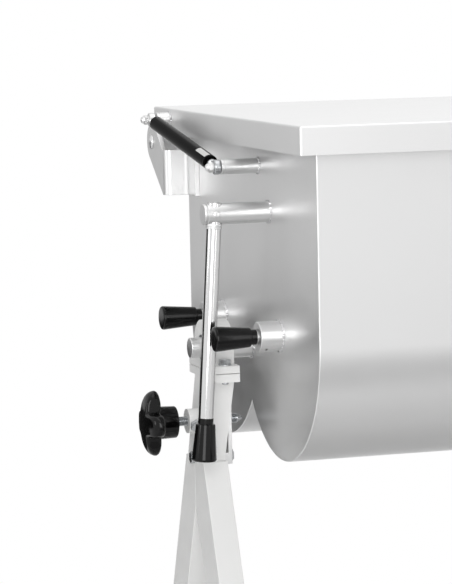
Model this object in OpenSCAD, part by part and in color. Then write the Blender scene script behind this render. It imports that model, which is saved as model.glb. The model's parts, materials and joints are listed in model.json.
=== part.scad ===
// Tilting meat mixer with two paddle shafts.
// The drawing frame has X along the tank, Y towards its hinges and Z up.
// X = 0 is the middle of the whole machine, Y = 0 lies midway between the shafts, Z = 0 is the floor.
// Inside the modules, X = 0 is the outer face of the left end plate and Z = 0 the height of the shafts.

/* [Tank] */
// Length over both end plates
tank_len = 600; // [450:10:800]
// Outer radius of each of the two rounds of the trough
trough_r = 150; // [140:1:170]
// Distance between the two paddle shafts
shaft_gap = 235; // [226:1:238]
// Height of the rim above the shafts
rim_z = 250; // [230:1:300]
// Thickness of the trough sheet
wrap_t = 2; // [1.5:0.5:3]
// Thickness of the end plates
plate_t = 3; // [2:0.5:5]
// Width of the flange that is bent outwards round the rim
rim_w = 20; // [12:1:24]

/* [Lid] */
// How far the lid stands out past the tank at the left, the right and the front
lid_over = 27.7; // [26:0.1:29]
// How far the lid stands out behind the hinge pins
back_over = 20; // [16:1:24]
// Depth of the lid's skirt
skirt_h = 33; // [26:1:40]
// Thickness of the lid's sheet
lid_t = 1.5; // [1:0.25:2.5]
// Thickness of the seal between the rim and the lid
seal_t = 5.2; // [3:0.1:8]
// Width of the seal
seal_w = 14; // [8:1:18]

/* [Hinges] */
// Distance of the hinge pins behind the tank's rear wall
pin_back = 43.5; // [41:0.5:48]
// Height of the hinge pins below the rim
pin_drop = 39; // [36:1:42]
// Radius of the hinge pins
pin_r = 6; // [4:0.5:7]
// Radius of the bracket's ear round the pin
ear_r = 25.5; // [22:0.5:28]
// Distance of the ear's outer face from the end plate
ear_out = 36.5; // [34.5:0.5:38]
// Thickness of the bracket's plate
bracket_t = 6; // [4:0.5:6]
// Inner radius of the bracket's two bends
bend_r = 4; // [3:0.5:5]
// Height of the bracket's foot
bracket_h = 59; // [50:1:70]
// Distance of the bracket's top below the rim
bracket_drop = 47; // [44:1:54]
// Distance of the bracket's web in front of the tank's rear wall
web_in = 17.5; // [12:0.5:24]
// Width of the wing in front of the web
wing_w = 36; // [20:1:44]

/* [Gas spring] */
// Middle plane of the gas spring, out from the left end plate
strut_x = 52; // [50:1:56]
// Height of the lower stud below the rim
stud_drop = 52; // [48:1:60]
// How far the lower stud lies in front of the middle between the shafts
stud_front = 44; // [30:1:50]
// Distance of the upper stud in front of the hinge pins
stud_ahead = 58; // [50:1:65]
// Height of the upper stud above the hinge pins
stud_above = 32; // [28:1:34]
// Radius of both studs
stud_r = 9; // [7:0.5:10]
// Radius of the gas spring's tube
tube_r = 9.25; // [9:0.25:10]
// Radius of the gas spring's rod
rod_r = 4; // [3:0.5:5]
// Radius of the spring's eyes
eye_r = 11; // [9:0.5:12]
// Radius of the pins in the eyes
eye_pin_r = 4; // [3:0.5:5]
// Stroke that the gas spring has to give
strut_stroke = 88; // [86:1:100]

/* [Tilting handle] */
// Height of the handle's socket above the shafts
socket_z = 145; // [140:1:155]
// How far the socket lies in front of the middle
socket_front = 82; // [80:1:86]
// Length of the socket tube
socket_len = 81.7; // [78:0.1:90]
// Radius of the socket tube
socket_r = 12.5; // [11:0.5:14]
// Radius of the handle bar
bar_r = 9; // [7:0.5:9]
// Length of the handle bar with its grip
bar_len = 312; // [280:1:320]
// Lean of the bar, outwards at its lower end, in degrees
bar_lean = 3.7; // [3:0.1:5]

/* [Grips] */
// Length of a grip
grip_len = 52; // [45:1:56]
// Radius of the grip's neck
neck_r = 9.25; // [9.25:0.25:10.5]
// Length of the neck
neck_len = 7; // [4:1:10]
// Radius of the shoulder after the neck
shoulder_r = 11.75; // [11:0.25:13]
// Radius of the grip's wide end
grip_r = 15; // [13:0.5:16]
// Height of the domed end
dome_h = 3; // [2:0.5:4]

/* [Paddle shafts and their release pins] */
// Radius of the paddle shafts
shaft_r = 12.5; // [12:0.5:16]
// Radius of the release pins that carry the left shaft ends
plunger_r = 8; // [6:0.5:8]
// Length of a release pin inside its shaft
engage = 13; // [10:1:13]
// Radius of the round housings of the release pins
boss_r = 18; // [17:0.5:20]
// Length of the housings
boss_len = 28; // [26:1:32]
// Radius of the paddles' tips
paddle_r = 141; // [125:1:142]
// Width of a paddle blade
blade_w = 76; // [50:1:80]
// Thickness of a paddle blade
blade_t = 5; // [4:1:8]
// Angle of the blades to the shaft, in degrees
blade_angle = 42; // [30:1:50]
// Radius of the paddle arms
arm_r = 8; // [6:0.5:10]
// Number of paddles on the front shaft
front_count = 4; // [2:1:5]

/* [Pivot and post] */
// Radius of the pivot journal
journal_r = 12.5; // [11:0.5:14]
// Length of the left journal out from the end plate
journal_len = 78.6; // [72:0.1:84]
// Distance of the pivot block from the end plate
block_gap = 32; // [30:1:36]
// Width of the pivot block along the journal
block_w = 31; // [26:1:34]
// Radius of the pivot block round the journal
block_r = 34; // [30:1:36]
// Half width of the block's foot
foot_half = 57; // [54:1:62]
// Thickness of the block's foot and of the plate under it
foot_t = 10; // [8:1:12]
// Height of the journal above the underside of the block
block_h = 27.1; // [26:0.1:32]
// Half width of the post at its head
post_half = 33; // [30:1:36]
// Height of the leaning post
post_h = 94; // [88:1:100]
// How far the post leans outwards over its height
post_lean = 12; // [8:1:14]

/* [Lock screw] */
// Height of the lock screw below the shafts
lock_drop = 114; // [106:1:120]
// Radius of the lock screw, M12
lock_r = 6; // [5:0.5:7]
// Radius of the lock screw's boss
lock_boss_r = 15; // [13:0.5:17]
// Distance of the boss's face from the end plate
lock_face = 84; // [82:1:86]
// Travel of the lock screw
lock_travel = 13; // [11:1:13]
// Width of the star knob over its lobes
star_w = 80; // [70:1:84]
// Length of the knob's hub
hub_len = 23; // [20:1:28]
// Length of the lobes along the screw
lobe_len = 20; // [16:1:26]
// Half width of a lobe
lobe_r = 13; // [11:0.5:14]

/* [Stand] */
// Height of the paddle shafts above the floor
shaft_h = 700; // [660:5:760]
// Width of a leg across the tube, seen from the end
leg_w = 58; // [50:1:64]
// Half width of the two legs together at their top
leg_head = 38; // [36:1:44]
// Thickness of the leg tube's wall
leg_t = 2; // [1.5:0.5:3]
// Splay of the legs, in degrees
leg_splay = 23; // [20:1:25]
// Side of the square floor tubes
floor_tube = 40; // [35:1:50]
// Height of the levelling feet
feet_h = 40; // [30:1:60]
// Half length of the floor bar
floor_half = 350; // [340:1:380]
// Half distance of the two stretchers
stretcher_half = 130; // [100:5:150]

/* [Drive] */
// Module of the gears
gear_module = 3; // [3:0.5:3]
// Teeth of the pinion
pinion_teeth = 20; // [20:1:20]
// Teeth of the two large gears
gear_teeth = 60; // [60:1:60]
// Width of the large gears
gear_w = 20; // [16:1:24]
// Depth of the gear case
case_w = 40; // [36:1:50]
// Wall of the gear case
case_t = 4; // [3:0.5:6]
// Radius of the gears' spindles
spindle_r = 16; // [15:0.5:18]
// Radius of the drive shaft
drive_r = 12; // [10:0.5:13]
// Outer radius of the right trunnion
trunnion_r = 30; // [26:1:34]

/* [Cabinet] */
// Gap between the gear case and the cabinet
cabinet_gap = 18; // [16:1:30]
// Distance of the gearbox from the cabinet's wall
gearbox_in = 34; // [30:1:40]
// Length of the cabinet along the machine
cabinet_l = 240; // [220:5:300]
// Half depth of the cabinet
cabinet_half = 180; // [170:5:220]
// Height of the cabinet's top above the floor
cabinet_top = 800; // [780:5:850]
// Thickness of the cabinet's sheet
cabinet_t = 2; // [1.5:0.5:3]
// Radius of the push buttons
button_r = 11; // [9:0.5:13]
// Distance between the push buttons
button_pitch = 44; // [38:1:50]
// Distance of the upper push button below the cabinet's top
button_down = 45; // [40:1:60]
// Travel of the push buttons
button_travel = 4; // [2:0.5:5]

/* [Hidden] */
$fn = 48;

// Clearances: a running fit, a seat between pieces that move apart, and a gap that is seen
fit = 0.05;
seat = 0.3;
gap = 1;

// Places along Y of the shafts and the tank's walls
front_y = -shaft_gap / 2;
rear_y = shaft_gap / 2;
wall_y = shaft_gap / 2 + trough_r;

// The gears set how far the pivot lies below the shafts
centre_gap = gear_module * (pinion_teeth + gear_teeth) / 2;
pivot_drop = sqrt(centre_gap * centre_gap - rear_y * rear_y);
mesh_angle = atan2(pivot_drop, rear_y);
pressure = 20;
backlash = 0.3;
addendum = gear_module;
dedendum = 1.25 * gear_module;

// Hinge, lid and gas spring
pin_y = wall_y + pin_back;
pin_z = rim_z - pin_drop;
lid_back = pin_y + back_over;
lid_front = -wall_y - lid_over;
lid_z = rim_z + seal_t + lid_t;
cheek_drop = 2 * pin_r + 1;
web_y = wall_y - web_in;
bracket_z = rim_z - bracket_drop;
low_y = -stud_front;
low_z = rim_z - stud_drop;
up_y = pin_y - stud_ahead;
up_z = pin_z + stud_above;
strut_len = sqrt(pow(up_y - low_y, 2) + pow(up_z - low_z, 2));
strut_tilt = atan2(up_z - low_z, up_y - low_y);
eye_w = 12;
stud_face = strut_x - eye_w / 2 - seat;
gland_at = 24;
gland_w = 12;
piston_at = gland_at + gland_w + strut_stroke;

// Handle
bar_at = socket_len - socket_r - 2;
bar_top = socket_r + 3;
collar_h = 5;
collar_t = 1;
cap_t = 5;

// Paddle shafts, from the left end plate to the spindles in the right one
plunger_out = engage + gap;
shaft_x1 = plate_t + gap;
bush_flange = 4;
spindle_x1 = tank_len - plate_t - bush_flange - 16;
shaft_x2 = spindle_x1 - gap;
gear_x1 = tank_len + case_w / 2 - gear_w / 2 + 2;
gear_x2 = gear_x1 + gear_w;
cover_x1 = tank_len + case_w;
cover_x2 = cover_x1 + case_t;
tang = shaft_r * 1.2;
tang_len = 14;
boss_end_t = 3;
vent_at = 9.3;
spring_r = 10.5;
spring_wire = 1.4;
spring_turns = 4;
case_r = gear_module * gear_teeth / 2 + addendum + 3 + case_t;

// Pivot block, post and stand
block_x1 = -block_gap - block_w;
block_x2 = -block_gap;
foot_z = -pivot_drop - block_h;
post_z = foot_z - foot_t;
knee_z = post_z - post_h;
knee_half = post_half - 5;
leg_x1 = block_x1 - post_lean;
leg_x2 = block_x2 - post_lean;
floor_z = -shaft_h;
tube_z = floor_z + feet_h;
knob_x = -lock_face - lock_travel - gap;
lock_tip = -lock_travel - seat;
point_len = 8;
clamp_x = -lock_face + 7.5;
clamp_tilt = 14;
bolt_y = foot_half - 11;
strap_w = 36;
strap_t = 5;
strap_bottom = knee_z - 12;

// Cabinet
cab_x1 = cover_x2 + cabinet_gap;
cab_x2 = cab_x1 + cabinet_l;
cab_z1 = tube_z;
cab_z2 = floor_z + cabinet_top;
flange_t = 10;
bearing_r = trunnion_r + 30;
box_x1 = cab_x1 + cabinet_t + gearbox_in;
box_l = 80;
box_half = 80;
motor_r = 62;
motor_l = 220;
terminal_half = 40;
terminal_out = 34;
terminal_low = 150;
terminal_high = 60;
button_z = cab_z2 - button_down;
button_x = cab_x1 + cabinet_l / 2;
border = 26;
low_border = 90;
gland_z = cab_z1 + low_border / 2;
gland_y = cabinet_half + 22;

// The machine reaches from the star knob to the cabinet
reach_left = -knob_x + hub_len + lobe_len;
origin_x = (reach_left - cab_x2) / 2;

module place() translate([origin_x, 0, shaft_h]) children();

module xcyl(r, x1, x2, y = 0, z = 0) {
    translate([x1, y, z]) rotate([0, 90, 0]) cylinder(h = x2 - x1, r = r);
}
module xcone(r1, r2, x1, x2, y = 0, z = 0) {
    translate([x1, y, z]) rotate([0, 90, 0]) cylinder(h = x2 - x1, r1 = r1, r2 = r2);
}
module ycyl(r, y1, y2, x = 0, z = 0) {
    translate([x, y1, z]) rotate([-90, 0, 0]) cylinder(h = y2 - y1, r = r);
}
module zcyl(r, z1, z2, x = 0, y = 0) translate([x, y, z1]) cylinder(h = z2 - z1, r = r);

// A box given by its lowest and highest corners
module block(low, high) translate(low) cube(high - low);

// An outline in Y and Z, drawn out along X
module side(x1, x2) translate([x1, 0, 0]) rotate([90, 0, 90]) linear_extrude(x2 - x1) children();

// Bead of weld round a tube that stands on the left end plate
module weld(r, y, z) xcone(r - 0.2, r + 2.4, -2.4, 0, y, z);

module hex_head_x(x, y, z, across, h) {
    translate([x, y, z]) rotate([0, 90, 0]) cylinder(h = h, d = across / cos(30), $fn = 6);
}

// Tank

module trough_outline(r) {
    for (y = [front_y, rear_y]) translate([y, 0]) circle(r);
    translate([front_y - r, 0]) square([shaft_gap + 2 * r, rim_z]);
}
module tank_wrap() color("gainsboro") place() {
    difference() {
        side(plate_t, tank_len - plate_t) trough_outline(trough_r);
        side(plate_t - 1, tank_len) {
            trough_outline(trough_r - wrap_t);
            translate([front_y, rim_z - 1]) square([shaft_gap, 2]);
        }
    }
    for (s = [-1, 1]) {
        y = s > 0 ? wall_y - wrap_t / 2 : -wall_y - rim_w;
        block([plate_t, y, rim_z - wrap_t], [tank_len - plate_t, y + rim_w + wrap_t / 2, rim_z]);
    }
}
module left_plate() color("lightgray") place() difference() {
    union() {
        side(0, plate_t) trough_outline(trough_r);
        block([-rim_w, -wall_y, rim_z - plate_t], [0, wall_y, rim_z]);
    }
    for (y = [front_y, rear_y]) xcyl(plunger_r + fit, -1, plate_t + 1, y);
}
module right_plate() color("lightgray") place() difference() {
    union() {
        side(tank_len - plate_t, tank_len) trough_outline(trough_r);
        block([tank_len, -wall_y, rim_z - plate_t], [tank_len + rim_w, wall_y, rim_z]);
    }
    for (y = [front_y, rear_y]) xcyl(spindle_r + 6, tank_len - plate_t - 1, tank_len + 1, y);
    xcyl(drive_r + 2, tank_len - plate_t - 1, tank_len + 1, 0, -pivot_drop);
}
module left_trunnion() color("silver") place() {
    xcyl(journal_r, -journal_len + 1, -block_gap + 1, 0, -pivot_drop);
    xcone(journal_r - 1, journal_r, -journal_len, -journal_len + 1, 0, -pivot_drop);
    xcyl(journal_r + 2.5, -block_gap + 1, 0, 0, -pivot_drop);
    weld(journal_r + 2.5, 0, -pivot_drop);
}

// Round housing of a release pin, hollow for the pin's spring
module boss(y) difference() {
    union() {
        xcyl(boss_r, -boss_len + 0.8, 0, y);
        xcone(boss_r - 0.8, boss_r, -boss_len, -boss_len + 0.8, y);
        weld(boss_r, y, 0);
    }
    xcyl(plunger_r + fit, -boss_len - 1, 1, y);
    xcyl(spring_r + 2.5, -boss_len + boss_end_t, 1, y);
    zcyl(2, -boss_r - 1, 0, vent_at - boss_len, y);
}
module front_boss() color("silver") place() boss(front_y);
module rear_boss() color("silver") place() boss(rear_y);

// Return spring, drawn at the length that it has when its pin is pulled right out
module coil(y) {
    sides = 6;
    steps = 14 * spring_turns;
    pitch = spring_wire + 0.1;
    start = -boss_len + boss_end_t + spring_wire / 2 + 0.1;
    points = [for (i = [0:steps]) for (k = [0:sides - 1])
        let (turn = 360 * i * spring_turns / steps, a = 360 * k / sides,
             r = spring_r + spring_wire / 2 * cos(a))
        [start + pitch * spring_turns * i / steps + spring_wire / 2 * sin(a), r * cos(turn) + y,
         r * sin(turn)]];
    tube = [for (i = [0:steps - 1]) for (k = [0:sides - 1])
        let (n = (k + 1) % sides)
        [i * sides + k, i * sides + n, (i + 1) * sides + n, (i + 1) * sides + k]];
    caps = [[for (k = [sides - 1:-1:0]) k], [for (k = [0:sides - 1]) steps * sides + k]];
    polyhedron(points, concat(tube, caps));
}
module plunger_springs() color("dimgray") place() for (y = [front_y, rear_y]) coil(y);

module shaft_bushes() color("burlywood") place() for (y = [front_y, rear_y]) difference() {
    union() {
        xcyl(spindle_r + 6, tank_len - plate_t, tank_len + 8, y);
        xcyl(spindle_r + 12, tank_len - plate_t - bush_flange, tank_len - plate_t, y);
    }
    xcyl(spindle_r + fit, tank_len - 40, tank_len + 20, y);
}

// Tilting handle's socket with the short collar under it
module bar_axis() translate([-bar_at, -socket_front, socket_z]) rotate([0, bar_lean, 0]) children();
module handle_socket() color("silver") place() difference() {
    union() {
        xcyl(socket_r, -socket_len + cap_t + 1.5, 0, -socket_front, socket_z);
        xcyl(socket_r - 0.8, -socket_len + cap_t, -socket_len + cap_t + 2, -socket_front, socket_z);
        xcyl(socket_r, -socket_len + 1, -socket_len + cap_t, -socket_front, socket_z);
        xcone(socket_r - 1, socket_r, -socket_len, -socket_len + 1, -socket_front, socket_z);
        weld(socket_r, -socket_front, socket_z);
        bar_axis() zcyl(bar_r + collar_t, -socket_r - collar_h, 0);
    }
    bar_axis() zcyl(bar_r + fit, -socket_r - collar_h - 5, socket_r + 5);
    ycyl(4, -socket_front - socket_r - 3, -socket_front, -bar_at, socket_z);
}
module set_screw() color("dimgray") place() {
    y = -socket_front - socket_r;
    ycyl(4, y - 1.5, -socket_front - bar_r - 0.2, -bar_at, socket_z);
    ycyl(6, y - 5, y - 1.2, -bar_at, socket_z);
}
module strut_stud() color("silver") place() {
    xcyl(stud_r, -stud_face, 0, low_y, low_z);
    weld(stud_r, low_y, low_z);
    xcyl(eye_pin_r, -strut_x - eye_w / 2 - seat, -stud_face + 1, low_y, low_z);
    head = -strut_x - eye_w / 2 - seat;
    xcyl(6, head - 4, head, low_y, low_z);
    xcone(2, 6, head - 8, head - 4, low_y, low_z);
}

// Quarter of a ring, from the side of s[0] along X and s[1] along Y of its centre
module quarter(r1, r2, s) intersection() {
    difference() {
        circle(r2);
        circle(r1);
    }
    translate([s[0] > 0 ? 0 : -r2, s[1] > 0 ? 0 : -r2]) square(r2);
}

// Hinge bracket of bent plate: wing on the end plate, web, and ear round the pin
module bracket(mirrored) {
    foot = bracket_z - bracket_h;
    fold_r = bend_r + bracket_t;
    translate([mirrored ? tank_len : 0, 0, 0]) mirror([mirrored ? 1 : 0, 0, 0]) difference() {
        union() {
            translate([0, 0, foot]) linear_extrude(bracket_h) {
                translate([-bracket_t, web_y - wing_w]) square([bracket_t, wing_w - bend_r]);
                translate([-fold_r, web_y - bend_r]) quarter(bend_r, fold_r, [1, 1]);
                translate([-ear_out + fold_r, web_y]) square([ear_out - 2 * fold_r, bracket_t]);
                translate([-ear_out + fold_r, web_y + fold_r]) quarter(bend_r, fold_r, [-1, -1]);
            }
            side(-ear_out, -ear_out + bracket_t) hull() {
                translate([pin_y, pin_z]) circle(ear_r);
                translate([web_y + fold_r, foot]) square([1, bracket_h]);
            }
        }
        xcyl(pin_r, -ear_out - 1, -ear_out + bracket_t + 1, pin_y, pin_z);
    }
}
module left_bracket() color("gainsboro") place() bracket(false);
module right_bracket() color("gainsboro") place() bracket(true);
module hinge_pins() color("silver") place() for (m = [0, 1]) {
    translate([m * tank_len, 0, 0]) mirror([m, 0, 0]) {
        xcyl(pin_r, -ear_out - 1, -lid_over + lid_t + 3, pin_y, pin_z);
        xcyl(pin_r + 3, -ear_out - 1.5, -ear_out, pin_y, pin_z);
        xcone(pin_r + 1.4, pin_r + 3, -ear_out - 3.5, -ear_out - 1.5, pin_y, pin_z);
        xcone(pin_r - 2.5, pin_r + 1.4, -ear_out - 4.6, -ear_out - 3.5, pin_y, pin_z);
        xcyl(pin_r + 3, -ear_out + bracket_t, -lid_over - seat, pin_y, pin_z);
    }
}

// Lid

module lid_pan() color("whitesmoke") place() {
    x1 = -lid_over;
    x2 = tank_len + lid_over;
    difference() {
        block([x1, lid_front, lid_z - skirt_h], [x2, lid_back, lid_z]);
        block([x1 + lid_t, lid_front + lid_t, lid_z - skirt_h - 1], [x2 - lid_t, lid_back - lid_t, lid_z - lid_t]);
    }
    low = pin_z - cheek_drop;
    block([x1, lid_back - lid_t, low], [x2, lid_back, lid_z - skirt_h]);
    for (x = [x1, x2 - lid_t]) difference() {
        block([x, pin_y - 3 * pin_r, low], [x + lid_t, lid_back - lid_t, lid_z - skirt_h]);
        xcyl(pin_r + fit, x - 1, x + lid_t + 1, pin_y, pin_z);
    }
}
module lid_seal() color("white") place() {
    z1 = rim_z + seat;
    z2 = lid_z - lid_t;
    difference() {
        block([-rim_w, -wall_y - rim_w, z1], [tank_len + rim_w, wall_y + rim_w, z2]);
        block([-rim_w + seal_w, -wall_y - rim_w + seal_w, z1 - 1],
              [tank_len + rim_w - seal_w, wall_y + rim_w - seal_w, z2 + 1]);
    }
}
module lid_stud() color("silver") place() {
    xcyl(stud_r, -stud_face, -lid_over, up_y, up_z);
    xcone(stud_r, stud_r + 2, -lid_over - 2, -lid_over, up_y, up_z);
}

// Gas spring, drawn along its own axis from the lower stud

module along_strut() translate([-strut_x, low_y, low_z]) rotate([strut_tilt, 0, 0]) children();
module eye(y, bore) difference() {
    xcyl(eye_r, -eye_w / 2, eye_w / 2, y);
    xcyl(bore, -eye_w / 2 - 1, eye_w / 2 + 1, y);
}
module strut_rod() color("silver") place() along_strut() {
    eye(0, eye_pin_r + fit);
    ycyl(5, eye_r - 2, gland_at - 4);
    ycyl(rod_r, gland_at - 5, piston_at);
    ycyl(tube_r - 1.2 - fit, piston_at, piston_at + 12);
}
module strut_cylinder() color("#1a1a1a") place() along_strut() {
    back = strut_len - 16;
    difference() {
        ycyl(tube_r, gland_at, back);
        ycyl(tube_r - 1.2, gland_at + gland_w, back - 5);
        ycyl(rod_r + fit, gland_at - 1, gland_at + gland_w + 1);
    }
    ycyl(5, back, strut_len - eye_r + 2);
    eye(strut_len, eye_pin_r);
    xcyl(eye_pin_r, -eye_w / 2, eye_w / 2, strut_len);
    xcyl(6, -eye_w / 2 - 3.5, -eye_w / 2, strut_len);
}

// Handles and release pins

// Tapered grip along Z, from its neck at 0 to its domed end
module grip() rotate_extrude() difference() {
    polygon(concat([[0, 0], [neck_r - 1, 0], [neck_r, 1], [neck_r, neck_len], [shoulder_r - 1, neck_len],
        [shoulder_r, neck_len + 1.5], [grip_r, grip_len - dome_h]],
        [for (a = [15:15:90]) [grip_r * cos(a), grip_len - dome_h + dome_h * sin(a)]]));
    translate([-1, -1]) square([1, grip_len + 2]);
}
module handle_bar() color("silver") place() bar_axis() {
    zcyl(bar_r, bar_top - bar_len + dome_h + 8, bar_top - 1);
    translate([0, 0, bar_top - 1]) cylinder(h = 1, r1 = bar_r, r2 = bar_r - 1);
}
module handle_grip() color("#151515") place() bar_axis() difference() {
    translate([0, 0, bar_top - bar_len + grip_len]) rotate([180, 0, 0]) grip();
    zcyl(bar_r, bar_top - bar_len + dome_h + 8, bar_top);
}
module plunger(y) {
    xcyl(plunger_r, -boss_len - 2 - grip_len * 0.4, shaft_x1 + engage - 1, y);
    xcone(plunger_r, plunger_r - 1, shaft_x1 + engage - 1, shaft_x1 + engage, y);
    xcyl(spring_r + 1.8, -seat - 3, -seat, y);
}
module front_plunger() color("silver") place() plunger(front_y);
module rear_plunger() color("silver") place() plunger(rear_y);
module plunger_grip(y) difference() {
    translate([-boss_len - 1.7, y, 0]) rotate([0, -90, 0]) grip();
    xcyl(plunger_r, -boss_len - 2 - grip_len * 0.4, 0, y);
}
module front_grip() color("#151515") place() plunger_grip(front_y);
module rear_grip() color("#151515") place() plunger_grip(rear_y);

// Lock screw: threaded spindle and star knob
module lock_spindle() color("dimgray") place() {
    xcyl(lock_r, knob_x - hub_len + 6, lock_tip - point_len, 0, -lock_drop);
    xcone(lock_r, 1.5, lock_tip - point_len, lock_tip, 0, -lock_drop);
}
module lock_knob() color("#151515") place() difference() {
    r = star_w / 2;
    x1 = knob_x - hub_len;
    hub_r = 1.5 * lobe_r;
    edge = 1.5;
    union() {
        xcyl(hub_r, x1, knob_x - edge, 0, -lock_drop);
        xcone(hub_r, hub_r - edge, knob_x - edge, knob_x, 0, -lock_drop);
        intersection() {
            side(x1 - lobe_len, x1 + 2) translate([0, -lock_drop]) {
                circle(hub_r + 1);
                for (a = [0:90:270]) rotate(a) {
                    translate([r - lobe_r, 0]) circle(lobe_r);
                    polygon([[0, -lobe_r + 2], [r - lobe_r, -lobe_r], [r - lobe_r, lobe_r], [0, lobe_r - 2]]);
                }
            }
            translate([x1 + 2, 0, -lock_drop]) rotate([0, -90, 0]) rotate_extrude() polygon(concat(
                [[0, 0], [r - 4, 0], [r, 5]],
                [for (a = [0:10:90]) [r * cos(a), 9 + (lobe_len - 7) * sin(a)]]));
        }
    }
    xcyl(lock_r, x1 + 6, knob_x + 1, 0, -lock_drop);
}

// Stand, left end

module pillow_block() color("white") place() difference() {
    side(block_x1, block_x2) {
        intersection() {
            translate([0, -pivot_drop]) circle(block_r);
            translate([-block_r, -pivot_drop]) square([2 * block_r, block_r]);
        }
        translate([-block_r, foot_z]) square([2 * block_r, block_h]);
        translate([-foot_half, foot_z]) square([2 * foot_half, foot_t]);
    }
    xcyl(journal_r + 3, block_x1 - 1, block_x2 + 1, 0, -pivot_drop);
    for (s = [-1, 1]) zcyl(4.5, foot_z - 1, foot_z + foot_t + 1, (block_x1 + block_x2) / 2, s * bolt_y);
}
module pivot_bush() color("darkgoldenrod") place() difference() {
    xcyl(journal_r + 3, block_x1 - 0.5, block_x2, 0, -pivot_drop);
    xcyl(journal_r + fit, block_x1 - 2, block_x2 + 1, 0, -pivot_drop);
}

// Axis of the clamp screw that stands in the front of the lock screw's boss
module clamp_axis() translate([clamp_x, 0, -lock_drop]) rotate([90 + clamp_tilt, 0, 0]) children();

// Post: head plate, leaning casting, heel between the legs, and boss of the lock screw
module post() color("white") place() difference() {
    union() {
        block([block_x1, -foot_half, post_z], [block_x2, foot_half, foot_z]);
        intersection() {
            translate([0, 200, 0]) rotate([90, 0, 0]) linear_extrude(400)
                polygon([[block_x1, post_z], [block_x2, post_z], [leg_x2, knee_z], [leg_x1, knee_z]]);
            side(-200, 0) polygon([[-post_half, post_z], [post_half, post_z], [knee_half, knee_z],
                [-knee_half, knee_z]]);
        }
        block([leg_x1, -knee_half, knee_z - 5], [leg_x2, knee_half, knee_z]);
        xcyl(lock_boss_r, -lock_face, -lock_face + 22, 0, -lock_drop);
    }
    xcyl(lock_r + fit, -lock_face - 1, 0, 0, -lock_drop);
    clamp_axis() {
        zcyl(8, lock_boss_r - 1, lock_boss_r + 5);
        zcyl(4, lock_r, lock_boss_r);
    }
    for (s = [-1, 1]) zcyl(4.5, post_z - 1, foot_z + 1, (block_x1 + block_x2) / 2, s * bolt_y);
}
module inner_strap() color("gainsboro") place() difference() {
    x1 = block_x2 - strap_t;
    union() {
        block([x1, -strap_w / 2, strap_bottom], [x1 + strap_t, strap_w / 2, post_z]);
        block([leg_x2, -strap_w / 2, strap_bottom], [x1, strap_w / 2, strap_bottom + 14]);
    }
    intersection() {
        translate([0, 200, 0]) rotate([90, 0, 0]) linear_extrude(400)
            polygon([[block_x1, post_z], [block_x2, post_z], [leg_x2, knee_z], [leg_x2, knee_z - 5],
                [leg_x1, knee_z - 5], [leg_x1, knee_z]]);
    }
    xcyl(lock_r + 1.5, -100, 0, 0, -lock_drop);
}

// Leg of rectangular tube from the knee down to the floor bar
module leg(s) {
    top = knee_z - 5;
    low = tube_z + floor_tube;
    run = (top - low) * tan(leg_splay);
    wide = leg_w / cos(leg_splay);
    crotch = top - (wide - leg_head) / tan(leg_splay);
    module outline(t) polygon([[t, top - t], [leg_head - t, top - t], [leg_head + run - t, low],
        [leg_head + run - wide + t, low], [t, crotch + t * 2]]);
    difference() {
        mirror([0, s < 0 ? 1 : 0, 0]) side(leg_x1, leg_x2) outline(0);
        mirror([0, s < 0 ? 1 : 0, 0]) side(leg_x1 + leg_t, leg_x2 - leg_t) outline(leg_t);
    }
}
module front_leg() color("white") place() leg(-1);
module rear_leg() color("white") place() leg(1);

module floor_bar() color("white") place() {
    x1 = (leg_x1 + leg_x2) / 2 - floor_tube / 2;
    x2 = x1 + floor_tube;
    difference() {
        block([x1, -floor_half, tube_z], [x2, floor_half, tube_z + floor_tube]);
        block([x1 + leg_t, -floor_half + leg_t, tube_z + leg_t],
              [x2 - leg_t, floor_half - leg_t, tube_z + floor_tube - leg_t]);
        for (s = [-1, 1]) zcyl(5, tube_z - 1, tube_z + 10, (x1 + x2) / 2, s * (floor_half - 30));
    }
}
module stretchers() color("white") place() for (s = [-1, 1]) {
    x1 = (leg_x1 + leg_x2) / 2 + floor_tube / 2;
    y = s * stretcher_half;
    difference() {
        block([x1, y - floor_tube / 2, tube_z], [cab_x1, y + floor_tube / 2, tube_z + floor_tube]);
        block([x1 - 1, y - floor_tube / 2 + leg_t, tube_z + leg_t],
              [cab_x1 + 1, y + floor_tube / 2 - leg_t, tube_z + floor_tube - leg_t]);
    }
}
module foot(x, y) {
    translate([x, y, floor_z]) cylinder(h = 6, r1 = 24, r2 = 22);
    translate([x, y, floor_z + 6]) cylinder(h = 8, r1 = 22, r2 = 9);
    zcyl(5, floor_z + 14, tube_z + 10, x, y);
    translate([x, y, tube_z - 8]) cylinder(h = 8, d = 17 / cos(30), $fn = 6);
}
module levelling_feet() color("#303030") place() {
    for (s = [-1, 1]) foot((leg_x1 + leg_x2) / 2, s * (floor_half - 30));
    for (x = [cab_x1 + 30, cab_x2 - 30]) for (s = [-1, 1]) foot(x, s * (cabinet_half - 30));
}

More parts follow.
